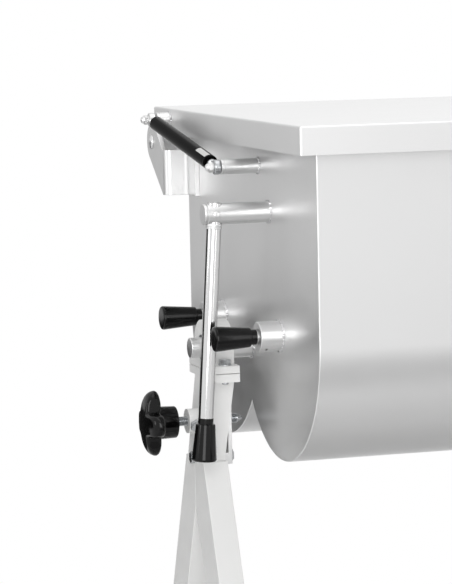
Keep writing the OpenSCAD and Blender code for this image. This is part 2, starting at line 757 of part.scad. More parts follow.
// All M8 hexagon bolts of the stand
module m8_bolts() color("silver") place() {
    x = (block_x1 + block_x2) / 2;
    for (s = [-1, 1]) {
        zcyl(4, post_z - 12, foot_z + foot_t, x, s * bolt_y);
        zcyl(8, foot_z + foot_t, foot_z + foot_t + 1.6, x, s * bolt_y);
        translate([x, s * bolt_y, foot_z + foot_t + 1.6]) cylinder(h = 5.5, d = 13 / cos(30), $fn = 6);
        translate([x, s * bolt_y, post_z - 6.5]) cylinder(h = 6.5, d = 13 / cos(30), $fn = 6);
    }
    hex_head_x(block_x2, 0, strap_bottom + 8, 13, 5.5);
    hex_head_x(leg_x1 - 5.5, 0, strap_bottom + 8, 13, 5.5);
    clamp_axis() {
        zcyl(4, lock_r + 2, lock_boss_r);
        zcyl(6.5 / cos(30), lock_boss_r - 1, lock_boss_r + 4.5, $fn = 6);
    }
    for (a = [45:90:315]) {
        y = (bearing_r - 10) * cos(a);
        z = (bearing_r - 10) * sin(a) - pivot_drop;
        hex_head_x(cab_x1 - flange_t - 5.5, y, z, 13, 5.5);
    }
}

// Drive

function involute(a) = tan(a) * 180 / PI - a;
function half_tooth(r, teeth) =
    let (pitch_r = gear_module * teeth / 2, base_r = pitch_r * cos(pressure))
    90 / teeth - backlash / 4 / pitch_r * 180 / PI + involute(pressure)
    - involute(acos(min(1, base_r / r)));
function flank_radii(teeth) =
    let (pitch_r = gear_module * teeth / 2)
    [pitch_r - dedendum, max(pitch_r - dedendum / 2, pitch_r * cos(pressure)), pitch_r,
     pitch_r + addendum];
function tooth(teeth) = let (radii = flank_radii(teeth)) concat(
    [for (i = [0:3]) [radii[i], -half_tooth(radii[i], teeth)]],
    [for (i = [3:-1:0]) [radii[i], half_tooth(radii[i], teeth)]]);
module gear_outline(teeth, phase) polygon([for (i = [0:teeth - 1]) for (p = tooth(teeth))
    let (a = phase + i * 360 / teeth + p[1]) p[0] * [cos(a), sin(a)]]);

// Turns a large gear so that its gaps stand over the pinion's teeth, which start at angle 0
function gear_phase(direction) =
    direction + 180 + pinion_teeth / gear_teeth * direction - 180 / gear_teeth;

module drive_shaft() color("silver") place() {
    x1 = gear_x1 - 1;
    xcyl(drive_r, tank_len + 2, box_x1 + box_l - 4, 0, -pivot_drop);
    side(x1, gear_x2 + 1) translate([0, -pivot_drop]) gear_outline(pinion_teeth, 0);
}
module large_gear(y, direction) {
    difference() {
        side(gear_x1, gear_x2) translate([y, 0]) gear_outline(gear_teeth, gear_phase(direction));
        for (a = [0:60:300]) xcyl(14, gear_x1 - 1, gear_x2 + 1, y + 56 * cos(a), 56 * sin(a));
    }
    difference() {
        xcyl(spindle_r, spindle_x1, gear_x2 + 4, y);
        block([spindle_x1 - 1, y - tang / 2 - 0.1, -tang / 2 - 0.1],
              [spindle_x1 + tang_len + 2, y + tang / 2 + 0.1, tang / 2 + 0.1]);
    }
    xcyl(spindle_r + 6, tank_len + 8 + seat, gear_x1, y);
}
module front_gear() color("darkgray") place() large_gear(front_y, 180 - mesh_angle);
module rear_gear() color("darkgray") place() large_gear(rear_y, mesh_angle);

// Paddle shaft: bored for its release pin at the left, with a square tang at the right
module paddle_shaft(y) {
    difference() {
        xcyl(shaft_r, shaft_x1, shaft_x2, y);
        xcyl(plunger_r + fit, shaft_x1 - 1, shaft_x1 + engage + 2, y);
    }
    block([shaft_x2, y - tang / 2, -tang / 2], [shaft_x2 + gap + tang_len, y + tang / 2, tang / 2]);
}
module front_shaft() color("silver") place() paddle_shaft(front_y);
module rear_shaft() color("silver") place() paddle_shaft(rear_y);

// One paddle: hub on the shaft, two arms and two blades turned to the shaft
module paddle(x, y, angle) translate([x, y, 0]) rotate([angle, 0, 0]) difference() {
    union() {
        xcyl(shaft_r + 7, -18, 18);
        zcyl(arm_r, -paddle_r + 22, paddle_r - 22);
        for (s = [-1, 1]) intersection() {
            rotate([0, 0, s * blade_angle])
                block([-blade_t / 2, -blade_w / 2, s > 0 ? 0 : -paddle_r], [blade_t / 2, blade_w / 2, s > 0 ? paddle_r : 0]);
            difference() {
                xcyl(paddle_r, -blade_w, blade_w);
                xcyl(paddle_r - 58, -blade_w - 1, blade_w + 1);
            }
        }
    }
    xcyl(shaft_r, -30, 30);
}
paddle_pitch = tank_len / front_count;
module front_paddles() color("lightsteelblue") place() for (i = [0:front_count - 1]) {
    paddle((i + 0.5) * paddle_pitch, front_y, 90 * i);
}
module rear_paddles() color("lightsteelblue") place() for (i = [1:front_count - 1]) {
    paddle(i * paddle_pitch, rear_y, 90 * i);
}

// Gear case on the right end plate, round at both ends
module case_outline(r) {
    for (y = [front_y, rear_y]) translate([y, 0]) circle(r);
    translate([front_y, -r]) square([shaft_gap, 2 * r]);
}
module gear_case() color("lightgray") place() side(tank_len, cover_x1) difference() {
    case_outline(case_r);
    case_outline(case_r - case_t);
}
module gear_cover() color("lightgray") place() difference() {
    side(cover_x1, cover_x2) case_outline(case_r + 8);
    xcyl(drive_r + 2, cover_x1 - 1, cover_x2 + 1, 0, -pivot_drop);
}
module cover_screws() color("silver") place() {
    for (s = [-1, 1]) {
        for (a = [-90:45:90]) {
            y = s * (rear_y + (case_r + 3) * cos(a));
            xcone(5.5, 3.5, cover_x2, cover_x2 + 3, y, (case_r + 3) * sin(a));
        }
        xcone(5.5, 3.5, cover_x2, cover_x2 + 3, 0, s * (case_r + 3));
    }
}
module right_trunnion() color("silver") place() difference() {
    union() {
        xcyl(trunnion_r, cover_x2, cab_x1 + 26, 0, -pivot_drop);
        xcone(trunnion_r + 4, trunnion_r, cover_x2, cover_x2 + 4, 0, -pivot_drop);
    }
    xcyl(drive_r + fit, cover_x2 - 1, cab_x1 + 30, 0, -pivot_drop);
}
module pivot_bearing() color("white") place() difference() {
    union() {
        xcyl(bearing_r, cab_x1 - flange_t, cab_x1, 0, -pivot_drop);
        xcyl(trunnion_r + 14, cab_x1, cab_x1 + cabinet_t + 26, 0, -pivot_drop);
    }
    xcyl(trunnion_r + fit, cab_x1 - flange_t - 1, cab_x1 + cabinet_t + 27, 0, -pivot_drop);
}
module gearbox() color("slategray") place() difference() {
    union() {
        block([box_x1, -box_half, -pivot_drop - box_half], [box_x1 + box_l, box_half, -pivot_drop + box_half]);
        xcyl(bearing_r, box_x1 + box_l, box_x1 + box_l + 6, 0, -pivot_drop);
        xcyl(trunnion_r + 20, cab_x1 + cabinet_t + 26, box_x1, 0, -pivot_drop);
    }
    xcyl(drive_r + fit, cab_x1, box_x1 + box_l - 3, 0, -pivot_drop);
    xcyl(trunnion_r + 1, cab_x1, box_x1 - 2, 0, -pivot_drop);
}
module drive_motor() color("dimgray") place() {
    x = box_x1 + box_l / 2 + 18;
    top = -pivot_drop - box_half;
    zcyl(motor_r, top - motor_l, top, x, 0);
    zcyl(motor_r + 4, top - 10, top, x, 0);
    for (a = [0:15:345]) translate([x, 0, top - motor_l + 30]) rotate(a)
        translate([motor_r - 2, -1, 0]) cube([8, 2, motor_l - 60]);
    block([x - terminal_half, -motor_r - terminal_out, top - terminal_low],
          [x + terminal_half, -motor_r + 12, top - terminal_high]);
}

// Cabinet of bent sheet, open at the back behind the service panel
module cabinet() color("white") place() difference() {
    block([cab_x1, -cabinet_half, cab_z1], [cab_x2, cabinet_half, cab_z2]);
    block([cab_x1 + cabinet_t, -cabinet_half + cabinet_t, cab_z1 + cabinet_t],
          [cab_x2 - cabinet_t, cabinet_half - cabinet_t, cab_z2 - cabinet_t]);
    block([cab_x1 + border, cabinet_half - 10, cab_z1 + low_border],
          [cab_x2 - border, cabinet_half + 1, cab_z2 - border]);
    xcyl(trunnion_r + 14, cab_x1 - 1, cab_x1 + 10, 0, -pivot_drop);
    for (i = [0:2]) ycyl(6, -cabinet_half - 1, -cabinet_half + 10, button_x, button_z - i * button_pitch);
    ycyl(12.5, cabinet_half - 10, cabinet_half + 1, button_x, gland_z);
    for (x = [cab_x1 + 30, cab_x2 - 30]) for (s = [-1, 1])
        zcyl(5, cab_z1 - 1, cab_z1 + 10, x, s * (cabinet_half - 30));
}
module service_panel() color("gainsboro") place() {
    block([cab_x1 + border - 12, cabinet_half, cab_z1 + low_border - 12],
          [cab_x2 - border + 12, cabinet_half + cabinet_t, cab_z2 - border + 12]);
}
module panel_screws() color("silver") place() {
    for (x = [cab_x1 + border - 6, cab_x2 - border + 6]) for (k = [0, 0.5, 1]) {
        z = cab_z1 + low_border - 6 + k * (cab_z2 - border - cab_z1 - low_border + 12);
        translate([x, cabinet_half + cabinet_t, z]) rotate([-90, 0, 0]) cylinder(h = 2.5, r1 = 4.5, r2 = 3);
    }
}

// Push buttons on a raised plate at the front of the cabinet
module control_plate() color("lightgray") place() {
    y = -cabinet_half;
    low = button_z - 2 * button_pitch - 26;
    difference() {
        union() {
            block([button_x - 34, y - 3, low], [button_x + 34, y, button_z + 26]);
            for (i = [0:2]) ycyl(button_r + 4, y - 10, y - 3, button_x, button_z - i * button_pitch);
        }
        for (i = [0:2]) {
            ycyl(6, y - 4, y + 1, button_x, button_z - i * button_pitch);
            ycyl(button_r + 0.5, y - 11, y - 3, button_x, button_z - i * button_pitch);
        }
    }
}
module button(i) {
    y = -cabinet_half - 3 - button_travel - 1;
    z = button_z - i * button_pitch;
    ycyl(button_r, y - 9, y, button_x, z);
    ycyl(5.5, y, y + 22, button_x, z);
    ycyl(8, y + 16, y + 22, button_x, z);
}
module forward_button() color("seagreen") place() button(0);
module reverse_button() color("#202020") place() button(1);
module stop_button() color("firebrick") place() button(2);

module cable_gland() color("#202020") place() difference() {
    union() {
        ycyl(12.5, cabinet_half - cabinet_t - 4, cabinet_half, button_x, gland_z);
        translate([button_x, cabinet_half, gland_z]) rotate([-90, 0, 0]) cylinder(h = 7, d = 30, $fn = 6);
        ycyl(12, cabinet_half + 7, gland_y, button_x, gland_z);
    }
    ycyl(5, cabinet_half - 20, gland_y + 1, button_x, gland_z);
}

post();
pillow_block();
pivot_bush();
m8_bolts();
inner_strap();
front_leg();
rear_leg();
floor_bar();
stretchers();
levelling_feet();
pivot_bearing();
gearbox();
drive_motor();
cabinet();
service_panel();
panel_screws();
control_plate();
cable_gland();
forward_button();
reverse_button();
stop_button();
tank_wrap();
left_plate();
right_plate();
left_trunnion();
right_trunnion();
front_boss();
rear_boss();
plunger_springs();
shaft_bushes();
gear_case();
gear_cover();
cover_screws();
handle_socket();
set_screw();
strut_stud();
left_bracket();
right_bracket();
hinge_pins();
lid_pan();
lid_seal();
lid_stud();
strut_rod();
strut_cylinder();
handle_bar();
handle_grip();
front_plunger();
rear_plunger();
front_grip();
rear_grip();
lock_spindle();
lock_knob();
drive_shaft();
front_gear();
rear_gear();
front_shaft();
rear_shaft();
front_paddles();
rear_paddles();
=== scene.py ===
# %% [markdown]
# # A tilting meat mixer
# The machine is a stainless tank with a lid, hung between a leaning post and a drive cabinet.
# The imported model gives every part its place, so this script only adds finish: sheet with bent
# edges, turned studs with weld beads, gloss grips, paint, and a studio to see them in.

# %% Open the frame
import json
import math

import bmesh
import bpy
from mathutils import Matrix, Vector, noise


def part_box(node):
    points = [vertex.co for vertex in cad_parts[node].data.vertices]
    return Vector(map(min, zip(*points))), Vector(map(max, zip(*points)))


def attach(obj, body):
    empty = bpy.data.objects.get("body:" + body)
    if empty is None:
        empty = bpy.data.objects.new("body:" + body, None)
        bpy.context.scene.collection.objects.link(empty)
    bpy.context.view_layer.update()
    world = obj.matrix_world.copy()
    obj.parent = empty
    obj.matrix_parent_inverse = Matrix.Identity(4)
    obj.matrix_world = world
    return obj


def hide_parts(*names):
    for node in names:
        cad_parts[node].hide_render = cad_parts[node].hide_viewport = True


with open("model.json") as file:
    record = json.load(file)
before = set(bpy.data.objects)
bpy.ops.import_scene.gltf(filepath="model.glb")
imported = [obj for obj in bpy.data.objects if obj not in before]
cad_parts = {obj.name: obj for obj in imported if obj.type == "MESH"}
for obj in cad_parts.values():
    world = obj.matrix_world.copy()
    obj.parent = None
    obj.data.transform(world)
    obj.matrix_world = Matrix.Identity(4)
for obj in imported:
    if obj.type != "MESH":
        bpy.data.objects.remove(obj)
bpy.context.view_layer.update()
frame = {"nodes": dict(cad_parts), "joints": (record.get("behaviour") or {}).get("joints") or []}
joints = {joint["name"]: joint for joint in frame["joints"]}

# %% [markdown]
# ## One place to measure from
# A drawing of this tank would be measured from its left end plate, at the height of the paddle
# shafts. Blender works in metres from the floor, so a small function turns the drawing's
# millimetres into Blender's metres. The driving sizes are read from the frame, and only what the
# frame can't say, such as a sheet's thickness, is written down.

# %% Measure the frame
MM = 0.001
X, Y, Z = Vector((1, 0, 0)), Vector((0, 1, 0)), Vector((0, 0, 1))
PLATE_T, WRAP_T, LID_T = 3, 2, 1.5


def low(node):
    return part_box(node)[0]


def high(node):
    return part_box(node)[1]


def middle(node):
    return (low(node) + high(node)) / 2


shafts = middle("front_shaft")
origin = Vector((high("left_plate").x - PLATE_T * MM, 0, shafts.z))
front_y = shafts.y / MM
wall_y = high("left_plate").y / MM
rim_z = (high("left_plate").z - origin.z) / MM
tank_len = (low("right_plate").x + PLATE_T * MM - origin.x) / MM
trough_r = wall_y + front_y
rim_w = (origin.x - low("left_plate").x) / MM


def at(x, y, z):
    """A point of the drawing, in millimetres from the end plate, as a place in the scene."""
    return origin + Vector((x, y, z)) * MM


def drawn(point):
    """A place in the scene as a point of the drawing."""
    return (Vector(point) - origin) / MM


print("tank", round(tank_len), "by", round(2 * wall_y), "mm, rounds of", round(trough_r), "mm")

# %% [markdown]
# ## The camera
# The photograph was taken from the front left, a little above the lid, through a long lens. In a
# long lens parallel edges nearly stay parallel, which is why the tank looks so square. The camera
# is turned by three angles and pushed back far enough for the same perspective.

# %% Place the camera
YAW, PITCH, ROLL = math.radians(16.39), math.radians(6.28), math.radians(-1.24)
FOCAL_LEN, SENSOR_H, CAMERA_AT = 172.05, 36, (-987, -3252, 415)
camera_data = bpy.data.cameras.new("camera")
camera_data.sensor_fit = "VERTICAL"
camera_data.sensor_height = SENSOR_H
camera_data.lens = FOCAL_LEN
camera = bpy.data.objects.new("camera", camera_data)
turn = Matrix.Rotation(-YAW, 4, "Z") @ Matrix.Rotation(math.pi / 2 - PITCH, 4, "X")
turn = turn @ Matrix.Rotation(ROLL, 4, "Z")
camera.matrix_world = Matrix.Translation(at(*CAMERA_AT)) @ turn
bpy.context.scene.collection.objects.link(camera)
bpy.context.scene.camera = camera
print("camera at", [round(c, 3) for c in camera.location])

# %% [markdown]
# ## Tools for materials
# Colours are written as a painter's hex code and turned to the linear values that light needs.
# A material is a small tree of nodes. One function adds a node, fills in its values and plugs in
# its wires, and one starts a material with its colour and roughness. The others lay a noise over
# the object, raise the surface by it, and let it vary a value. With these, each material below
# can be read from top to bottom.

# %% Tools for materials


def linear(code):
    """Turns a hex colour into linear red, green, blue and alpha."""
    parts = [int(code[i:i + 2], 16) / 255 for i in (1, 3, 5)]
    return [p / 12.92 if p <= 0.04045 else ((p + 0.055) / 1.055) ** 2.4 for p in parts] + [1.0]


def add_node(tree, kind, wires=(), values=(), **settings):
    """Adds a node to a tree, with its settings, the values of its sockets and its wires."""
    node = tree.nodes.new(kind)
    for name, value in settings.items():
        setattr(node, name, value)
    for name, value in dict(values).items():
        node.inputs[name].default_value = value
    for name, source in dict(wires).items():
        tree.links.new(source, node.inputs[name])
    return node


def new_material(name, colour, metallic, roughness):
    """Starts a material and returns it with its tree, its shader and the object's coordinates."""
    material = bpy.data.materials.new(name)
    material.use_nodes = True
    tree = material.node_tree
    shader = tree.nodes["Principled BSDF"]
    shader.inputs["Base Color"].default_value = linear(colour)
    shader.inputs["Metallic"].default_value = metallic
    shader.inputs["Roughness"].default_value = roughness
    where = add_node(tree, "ShaderNodeTexCoord").outputs["Object"]
    return material, tree, shader, where


def grain(tree, where, size, detail=3.0):
    """Noise whose grains measure size millimetres along X, Y and Z."""
    scaled = add_node(tree, "ShaderNodeMapping", {"Vector": where},
                      {"Scale": [1 / (s * MM) for s in size]})
    return add_node(tree, "ShaderNodeTexNoise", {"Vector": scaled.outputs["Vector"]},
                    {"Scale": 1.0, "Detail": detail}).outputs["Fac"]


def bumps(tree, shader, layers):
    """Raises the surface by each noise in turn; a layer is a noise and its height in mm."""
    normal = None
    for height, depth in layers:
        wires = {"Height": height} if normal is None else {"Height": height, "Normal": normal}
        bump = add_node(tree, "ShaderNodeBump", wires, {"Strength": 1.0, "Distance": depth * MM})
        normal = bump.outputs["Normal"]
    tree.links.new(normal, shader.inputs["Normal"])


def vary(tree, shader, socket, source, lowest, highest):
    """Lets a noise, most of which lies between 0.3 and 0.7, drive a socket between two values."""
    ranged = add_node(tree, "ShaderNodeMapRange", {"Value": source},
                      {"From Min": 0.3, "From Max": 0.7, "To Min": lowest, "To Max": highest})
    tree.links.new(ranged.outputs["Result"], shader.inputs[socket])


print("red in linear light:", [round(c, 3) for c in linear("#B3201B")])

# %% [markdown]
# ## Stainless sheet
# The tank is chrome-nickel steel sheet with a satin finish: it is rolled, then brushed or
# blasted with glass beads, so that it mirrors only soft shapes. To the eye that is a metal of
# middle roughness with a trace of matt grey. Big sheets are never quite flat either, so a very
# shallow wave bends the reflections, and a noise makes some patches duller than others. The
# lid is blasted finer, and the thick brackets are pressed, which leaves them flatter.

# %% Satin sheet for the tank, and finer sheet for the lid
# Sizes in millimetres. A real brush leaves lines far finer than 1.6; these are as coarse as a
# picture of the whole machine needs.
CLOUDS, WAVES, BRUSHED, BRUSHED_H = (60, 60, 60), (170, 170, 170), (90, 90, 1.6), 0.006
SHEET_METALLIC = 0.85


def satin_sheet(name, colour, roughness, wave=0.35):
    """Rolled sheet with waves of a height, brushed lines and dull clouds."""
    material, tree, shader, where = new_material(name, colour, SHEET_METALLIC, roughness)
    clouds = grain(tree, where, CLOUDS)
    brushed = grain(tree, where, BRUSHED, 2.0)
    waves = grain(tree, where, WAVES, 1.0)
    vary(tree, shader, "Roughness", clouds, roughness - 0.03, roughness + 0.04)
    bumps(tree, shader, [(waves, wave), (brushed, BRUSHED_H)])
    return material


satin_stainless = satin_sheet("satin_stainless", "#E8E8E8", 0.34)
blasted_stainless = satin_sheet("blasted_stainless", "#EAEAEA", 0.44, 0.2)
pressed_stainless = satin_sheet("pressed_stainless", "#E0E0E0", 0.4, 0.1)
print("sheets:", satin_stainless.name, blasted_stainless.name, pressed_stainless.name)

# %% [markdown]
# ## Turned, drawn and welded steel
# Journals, shafts and pins are turned on a lathe, which leaves rings too fine to see but enough
# to stretch highlights, so fine noise is laid across the axis. Bosses, studs and the socket
# were ground after welding, which is duller. Bolts have a skin of bluish zinc, the shafts'
# bushes are bronze, and gear wheels and springs are bare, darker steel. The handle bar is drawn
# and polished, nearly a mirror, with faint lines along its length. A weld is rough and silvery,
# because its ripples catch the light in many places.

# %% Round steel and bronze
# Sizes in millimetres. Rings of 0.7 are coarser than a lathe leaves, so that they show at all.
RING, RING_REACH, RING_H, PATCH = 0.7, 40, 0.004, 14


def ringed_steel(name, colour, roughness, ring=RING):
    """Turned metal, with rings round X and patches that are a little duller."""
    material, tree, shader, where = new_material(name, colour, 1.0, roughness)
    rings = grain(tree, where, (ring, RING_REACH, RING_REACH), 2.0)
    patches = grain(tree, where, (PATCH, PATCH, PATCH))
    vary(tree, shader, "Roughness", patches, roughness - 0.04, roughness + 0.05)
    bumps(tree, shader, [(rings, RING_H)])
    return material


turned_stainless = ringed_steel("turned_stainless", "#DDDDDD", 0.33)
ground_stainless = ringed_steel("ground_stainless", "#DDDDDD", 0.42)
zinc_plated = ringed_steel("zinc_plated", "#B6B8BA", 0.22, 3.0)
bearing_bronze = ringed_steel("bearing_bronze", "#B48F5A", 0.3)
gear_steel = ringed_steel("gear_steel", "#9A9DA1", 0.28)
print("turned:", turned_stainless.name, ground_stainless.name, zinc_plated.name)

# %% Polished bar and weld metal
BAR_LINES, BAR_LINES_H = (0.9, 0.9, 60), 0.003
WELD_SCALE, WELD_SCALE_H = 1.6, 0.25


def drawn_bar():
    material, tree, shader, where = new_material("polished_bar", "#D6D6D6", 1.0, 0.09)
    bumps(tree, shader, [(grain(tree, where, BAR_LINES, 2.0), BAR_LINES_H)])
    return material


def welded():
    material, tree, shader, where = new_material("weld_metal", "#CFCFD0", 1.0, 0.27)
    scales = grain(tree, where, [WELD_SCALE] * 3)
    bumps(tree, shader, [(scales, WELD_SCALE_H)])
    vary(tree, shader, "Roughness", scales, 0.18, 0.4)
    return material


polished_bar = drawn_bar()
weld_metal = welded()
print("bar and weld:", polished_bar.name, weld_metal.name)

# %% [markdown]
# ## Gloss black, paint and rubber
# The grips and the star knob are phenolic resin, pressed in a polished mould: deep black under
# a clear gloss. The gas spring is lacquered. It is seen at a low angle, where a usual lacquer
# would mirror the white room and look grey, so its IOR is lowered until it stays black. Stand
# and cabinet are powder coated, and such a coat has a skin like an orange, with hollows of
# about two millimetres. The gearbox and the motor are painted over sand texture, which is
# coarser. Film, rubber and the buttons' plastic are made the same way, duller or smoother.

# %% Moulded, painted and rubber surfaces
SHADE, LACQUER_IOR = 18, 1.07


def coated(name, colour, roughness, peel=0.0, peel_size=2.2, gloss=0.5):
    """A coat or moulding; peel and peel_size are its hollows' depth and width in millimetres."""
    material, tree, shader, where = new_material(name, colour, 0.0, roughness)
    shader.inputs["Specular IOR Level"].default_value = gloss
    patches = grain(tree, where, (SHADE, SHADE, SHADE))
    vary(tree, shader, "Roughness", patches, roughness * 0.85, roughness * 1.2)
    if peel:
        bumps(tree, shader, [(grain(tree, where, [peel_size] * 3, 1.0), peel)])
    return material


phenolic_black = coated("phenolic_black", "#090909", 0.12, gloss=0.25)
black_lacquer = coated("black_lacquer", "#080808", 0.12)
black_lacquer.node_tree.nodes["Principled BSDF"].inputs["IOR"].default_value = LACQUER_IOR
powder_white = coated("powder_white", "#F0F0EF", 0.38, 0.02)
grey_enamel = coated("grey_enamel", "#7A8086", 0.42, 0.08, 3.5)
plain_film = coated("plain_film", "#DDDDDB", 0.35)
white_rubber = coated("white_rubber", "#DEDEDA", 0.7, 0.02, 1.5)
black_rubber = coated("black_rubber", "#1A1A1A", 0.6, 0.02, 1.5)
green_plastic = coated("green_plastic", "#1F7A3D", 0.3)
black_plastic = coated("black_plastic", "#161616", 0.3)
red_plastic = coated("red_plastic", "#B3201B", 0.3)
print("with the coats:", len(bpy.data.materials), "materials")

# %% [markdown]
# ## Turned parts
# Most round parts of a machine come from a lathe. Here such a part is a profile of a few points,
# distances along an axis and radii, that is spun round the axis. A full turn ends where it
# began, so points that meet are merged, and the faces are told which side is out.

# %% Tools for turned parts
TINY, HAIR = 1e-6, 1e-5


def toward(place, direction):
    """Moves a part that was drawn along Z to a place, and turns it along a direction."""
    return Matrix.Translation(place) @ direction.to_track_quat("Z", "Y").to_matrix().to_4x4()


def spun(profile, place, direction, closed=False, steps=72):
    """A turned part. The profile lists distances along the axis and radii, in millimetres."""
    bm = bmesh.new()
    verts = [bm.verts.new((radius * MM, 0, along * MM)) for along, radius in profile]
    for pair in zip(verts, verts[1:] + verts[:1] if closed else verts[1:]):
        bm.edges.new(pair)
    bmesh.ops.spin(bm, geom=bm.verts[:] + bm.edges[:], cent=(0, 0, 0), axis=(0, 0, 1),
                   angle=2 * math.pi, steps=steps, use_merge=True)
    bmesh.ops.remove_doubles(bm, verts=bm.verts[:], dist=TINY)
    bmesh.ops.recalc_face_normals(bm, faces=bm.faces[:])
    bmesh.ops.transform(bm, matrix=toward(place, direction), verts=bm.verts[:])
    return bm


print("points closer than", TINY, "m are merged")

# %% [markdown]
# ## Edges and blocks
# Real edges are never sharp, and a rounded edge draws the bright line that makes metal look
# real. So one tool bevels every edge that turns by more than a given angle. Two others put
# several meshes into one, and draw a block between two points.

# %% Tools for edges and blocks


def verts_of(geom):
    return [g for g in geom if isinstance(g, bmesh.types.BMVert)]


def lowest(part):
    """Height of the lowest point of an edge or face."""
    return min(v.co.z for v in part.verts)


def round_edges(bm, width, segments=3, angle=30, only=None):
    """Rounds every edge that turns by more than an angle."""
    bm.normal_update()
    limit = math.radians(angle)
    sharp = [e for e in bm.edges if len(e.link_faces) == 2 and e.calc_face_angle() > limit
             and (only is None or only(e))]
    bmesh.ops.bevel(bm, geom=sharp, offset=width * MM, offset_type="OFFSET", segments=segments,
                    profile=0.5, affect="EDGES", clamp_overlap=True, material=-1)
    return bm


def joined(*parts):
    """Puts several meshes into one."""
    whole = parts[0]
    for part in parts[1:]:
        carrier = bpy.data.meshes.new("carrier")
        part.to_mesh(carrier)
        part.free()
        whole.from_mesh(carrier)
        bpy.data.meshes.remove(carrier)
    return whole


def box(first, second):
    """A block between two points of the drawing."""
    a, b = at(*first), at(*second)
    bm = bmesh.new()
    bmesh.ops.create_cube(bm, size=1.0)
    bmesh.ops.scale(bm, vec=[abs(c) for c in b - a], verts=bm.verts[:])
    bmesh.ops.translate(bm, vec=(a + b) / 2, verts=bm.verts[:])
    return bm


print("edges that turn by more than 30 degrees are rounded")

# %% [markdown]
# ## Copies of CAD pieces
# Where the frame's shape is right, a piece is a copy of its CAD node. That mesh is loose
# triangles, so they are merged to whole faces before the edges are rounded. A casting that
# stands on another shows a fine dark line between them: a seat lifts the rim of its foot a
# little and leaves the middle where it is.

# %% Tool for copies
SEAT_IN = 3


def dressed(node, width, segments=2, angle=40, seat=0):
    """A copy of a CAD node's mesh with its edges rounded; a seat leaves a gap round its foot."""
    bm = bmesh.new()
    bm.from_mesh(frame["nodes"][node].data)
    bmesh.ops.remove_doubles(bm, verts=bm.verts[:], dist=HAIR)
    bmesh.ops.dissolve_limit(bm, angle_limit=math.radians(1), verts=bm.verts[:],
                             edges=bm.edges[:], use_dissolve_boundaries=False)
    if not seat:
        return round_edges(bm, width, segments, angle)
    foot_z = min(v.co.z for v in bm.verts) + HAIR
    foot = [f for f in bm.faces if all(v.co.z < foot_z for v in f.verts)]
    bmesh.ops.inset_region(bm, faces=foot, thickness=SEAT_IN * MM, use_even_offset=True)
    inner = {v for f in foot for v in f.verts}
    rim = [v for v in bm.verts if v.co.z < foot_z and v not in inner]
    bmesh.ops.translate(bm, vec=Z * seat * MM, verts=rim)
    return round_edges(bm, width, segments, angle, lambda e: lowest(e) > foot_z + seat * MM)


print("a seat's rim is", SEAT_IN, "mm wide")

# %% [markdown]
# ## Finished pieces
# A mesh becomes a piece in the same steps each time. It gets one material, smooth shading that
# stops at sharp edges, and evened normals, which keep flat faces flat beside a bevel. Then it
# rides on the body that carries it, and the CAD nodes it stands for are hidden. A second
# function takes a list of copies and does all that for each.

# %% Tools for finished pieces
SHARP_FROM = math.radians(38)


def add_piece(name, bm, body, slot, material, *nodes):
    """Makes a mesh into a finished piece that rides on a body and stands for CAD nodes."""
    mesh = bpy.data.meshes.new(name)
    bm.to_mesh(mesh)
    bm.free()
    mesh.materials.append(material)
    mesh.shade_smooth()
    mesh.set_sharp_from_angle(angle=SHARP_FROM)
    piece = bpy.data.objects.new(name, mesh)
    bpy.context.scene.collection.objects.link(piece)
    even = piece.modifiers.new("even_normals", "WEIGHTED_NORMAL")
    even.keep_sharp = True
    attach(piece, body)
    if nodes:
        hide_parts(*nodes)
    print(name + ":", len(mesh.polygons), "faces on", body)


def add_copies(body, slot, material, *rows):
    """Copies CAD nodes; a row is a piece's name, its node, and the edges' width and segments."""
    for name, node, width, segments in rows:
        add_piece(name, dressed(node, width, segments), body, slot, material, node)


print("edges stay sharp from", round(math.degrees(SHARP_FROM)), "degrees")

# %% [markdown]
# ## Bores
# A hole across a curved surface is cut as a drill would cut it: the part is a stock, and the drill
# is a second mesh that a Boolean modifier takes away. The result is read back as a plain mesh, so
# that no drill has to be kept in the scene.

# %% Tool for bores


def bored(stock, *drills):
    """Takes drills away from a stock and returns what is left."""
    parts = []
    for bm in (stock, joined(*drills)):
        mesh = bpy.data.meshes.new("stock")
        bm.to_mesh(mesh)
        bm.free()
        part = bpy.data.objects.new("stock", mesh)
        bpy.context.scene.collection.objects.link(part)
        parts.append(part)
    cut = parts[0].modifiers.new("cut", "BOOLEAN")
    cut.operation, cut.solver, cut.object = "DIFFERENCE", "EXACT", parts[1]
    bpy.context.view_layer.update()
    bm = bmesh.new()
    bm.from_object(parts[0], bpy.context.evaluated_depsgraph_get())
    for part in parts:
        mesh = part.data
        bpy.data.objects.remove(part)
        bpy.data.meshes.remove(mesh)
    return bm


def drill(radius, place, direction, length, steps=48):
    """A round drill that starts at a place."""
    return spun([(0, 0), (0, radius), (length, radius), (length, 0)], place, direction,
                steps=steps)


print("drills take away with the exact solver")

# %% [markdown]
# ## Weld beads
# A weld runs round the foot of every stud and boss. It starts as a ring of round section. The
# welder's hand leaves ripples and small lumps, so the ring is pushed in and out by a noise that
# always gives the same result, and by a finer ripple along the seam.

# %% Tool for weld beads
LUMP, SPATTER, RIPPLE, RIPPLES = 4, 1.3, 0.1, 1.3


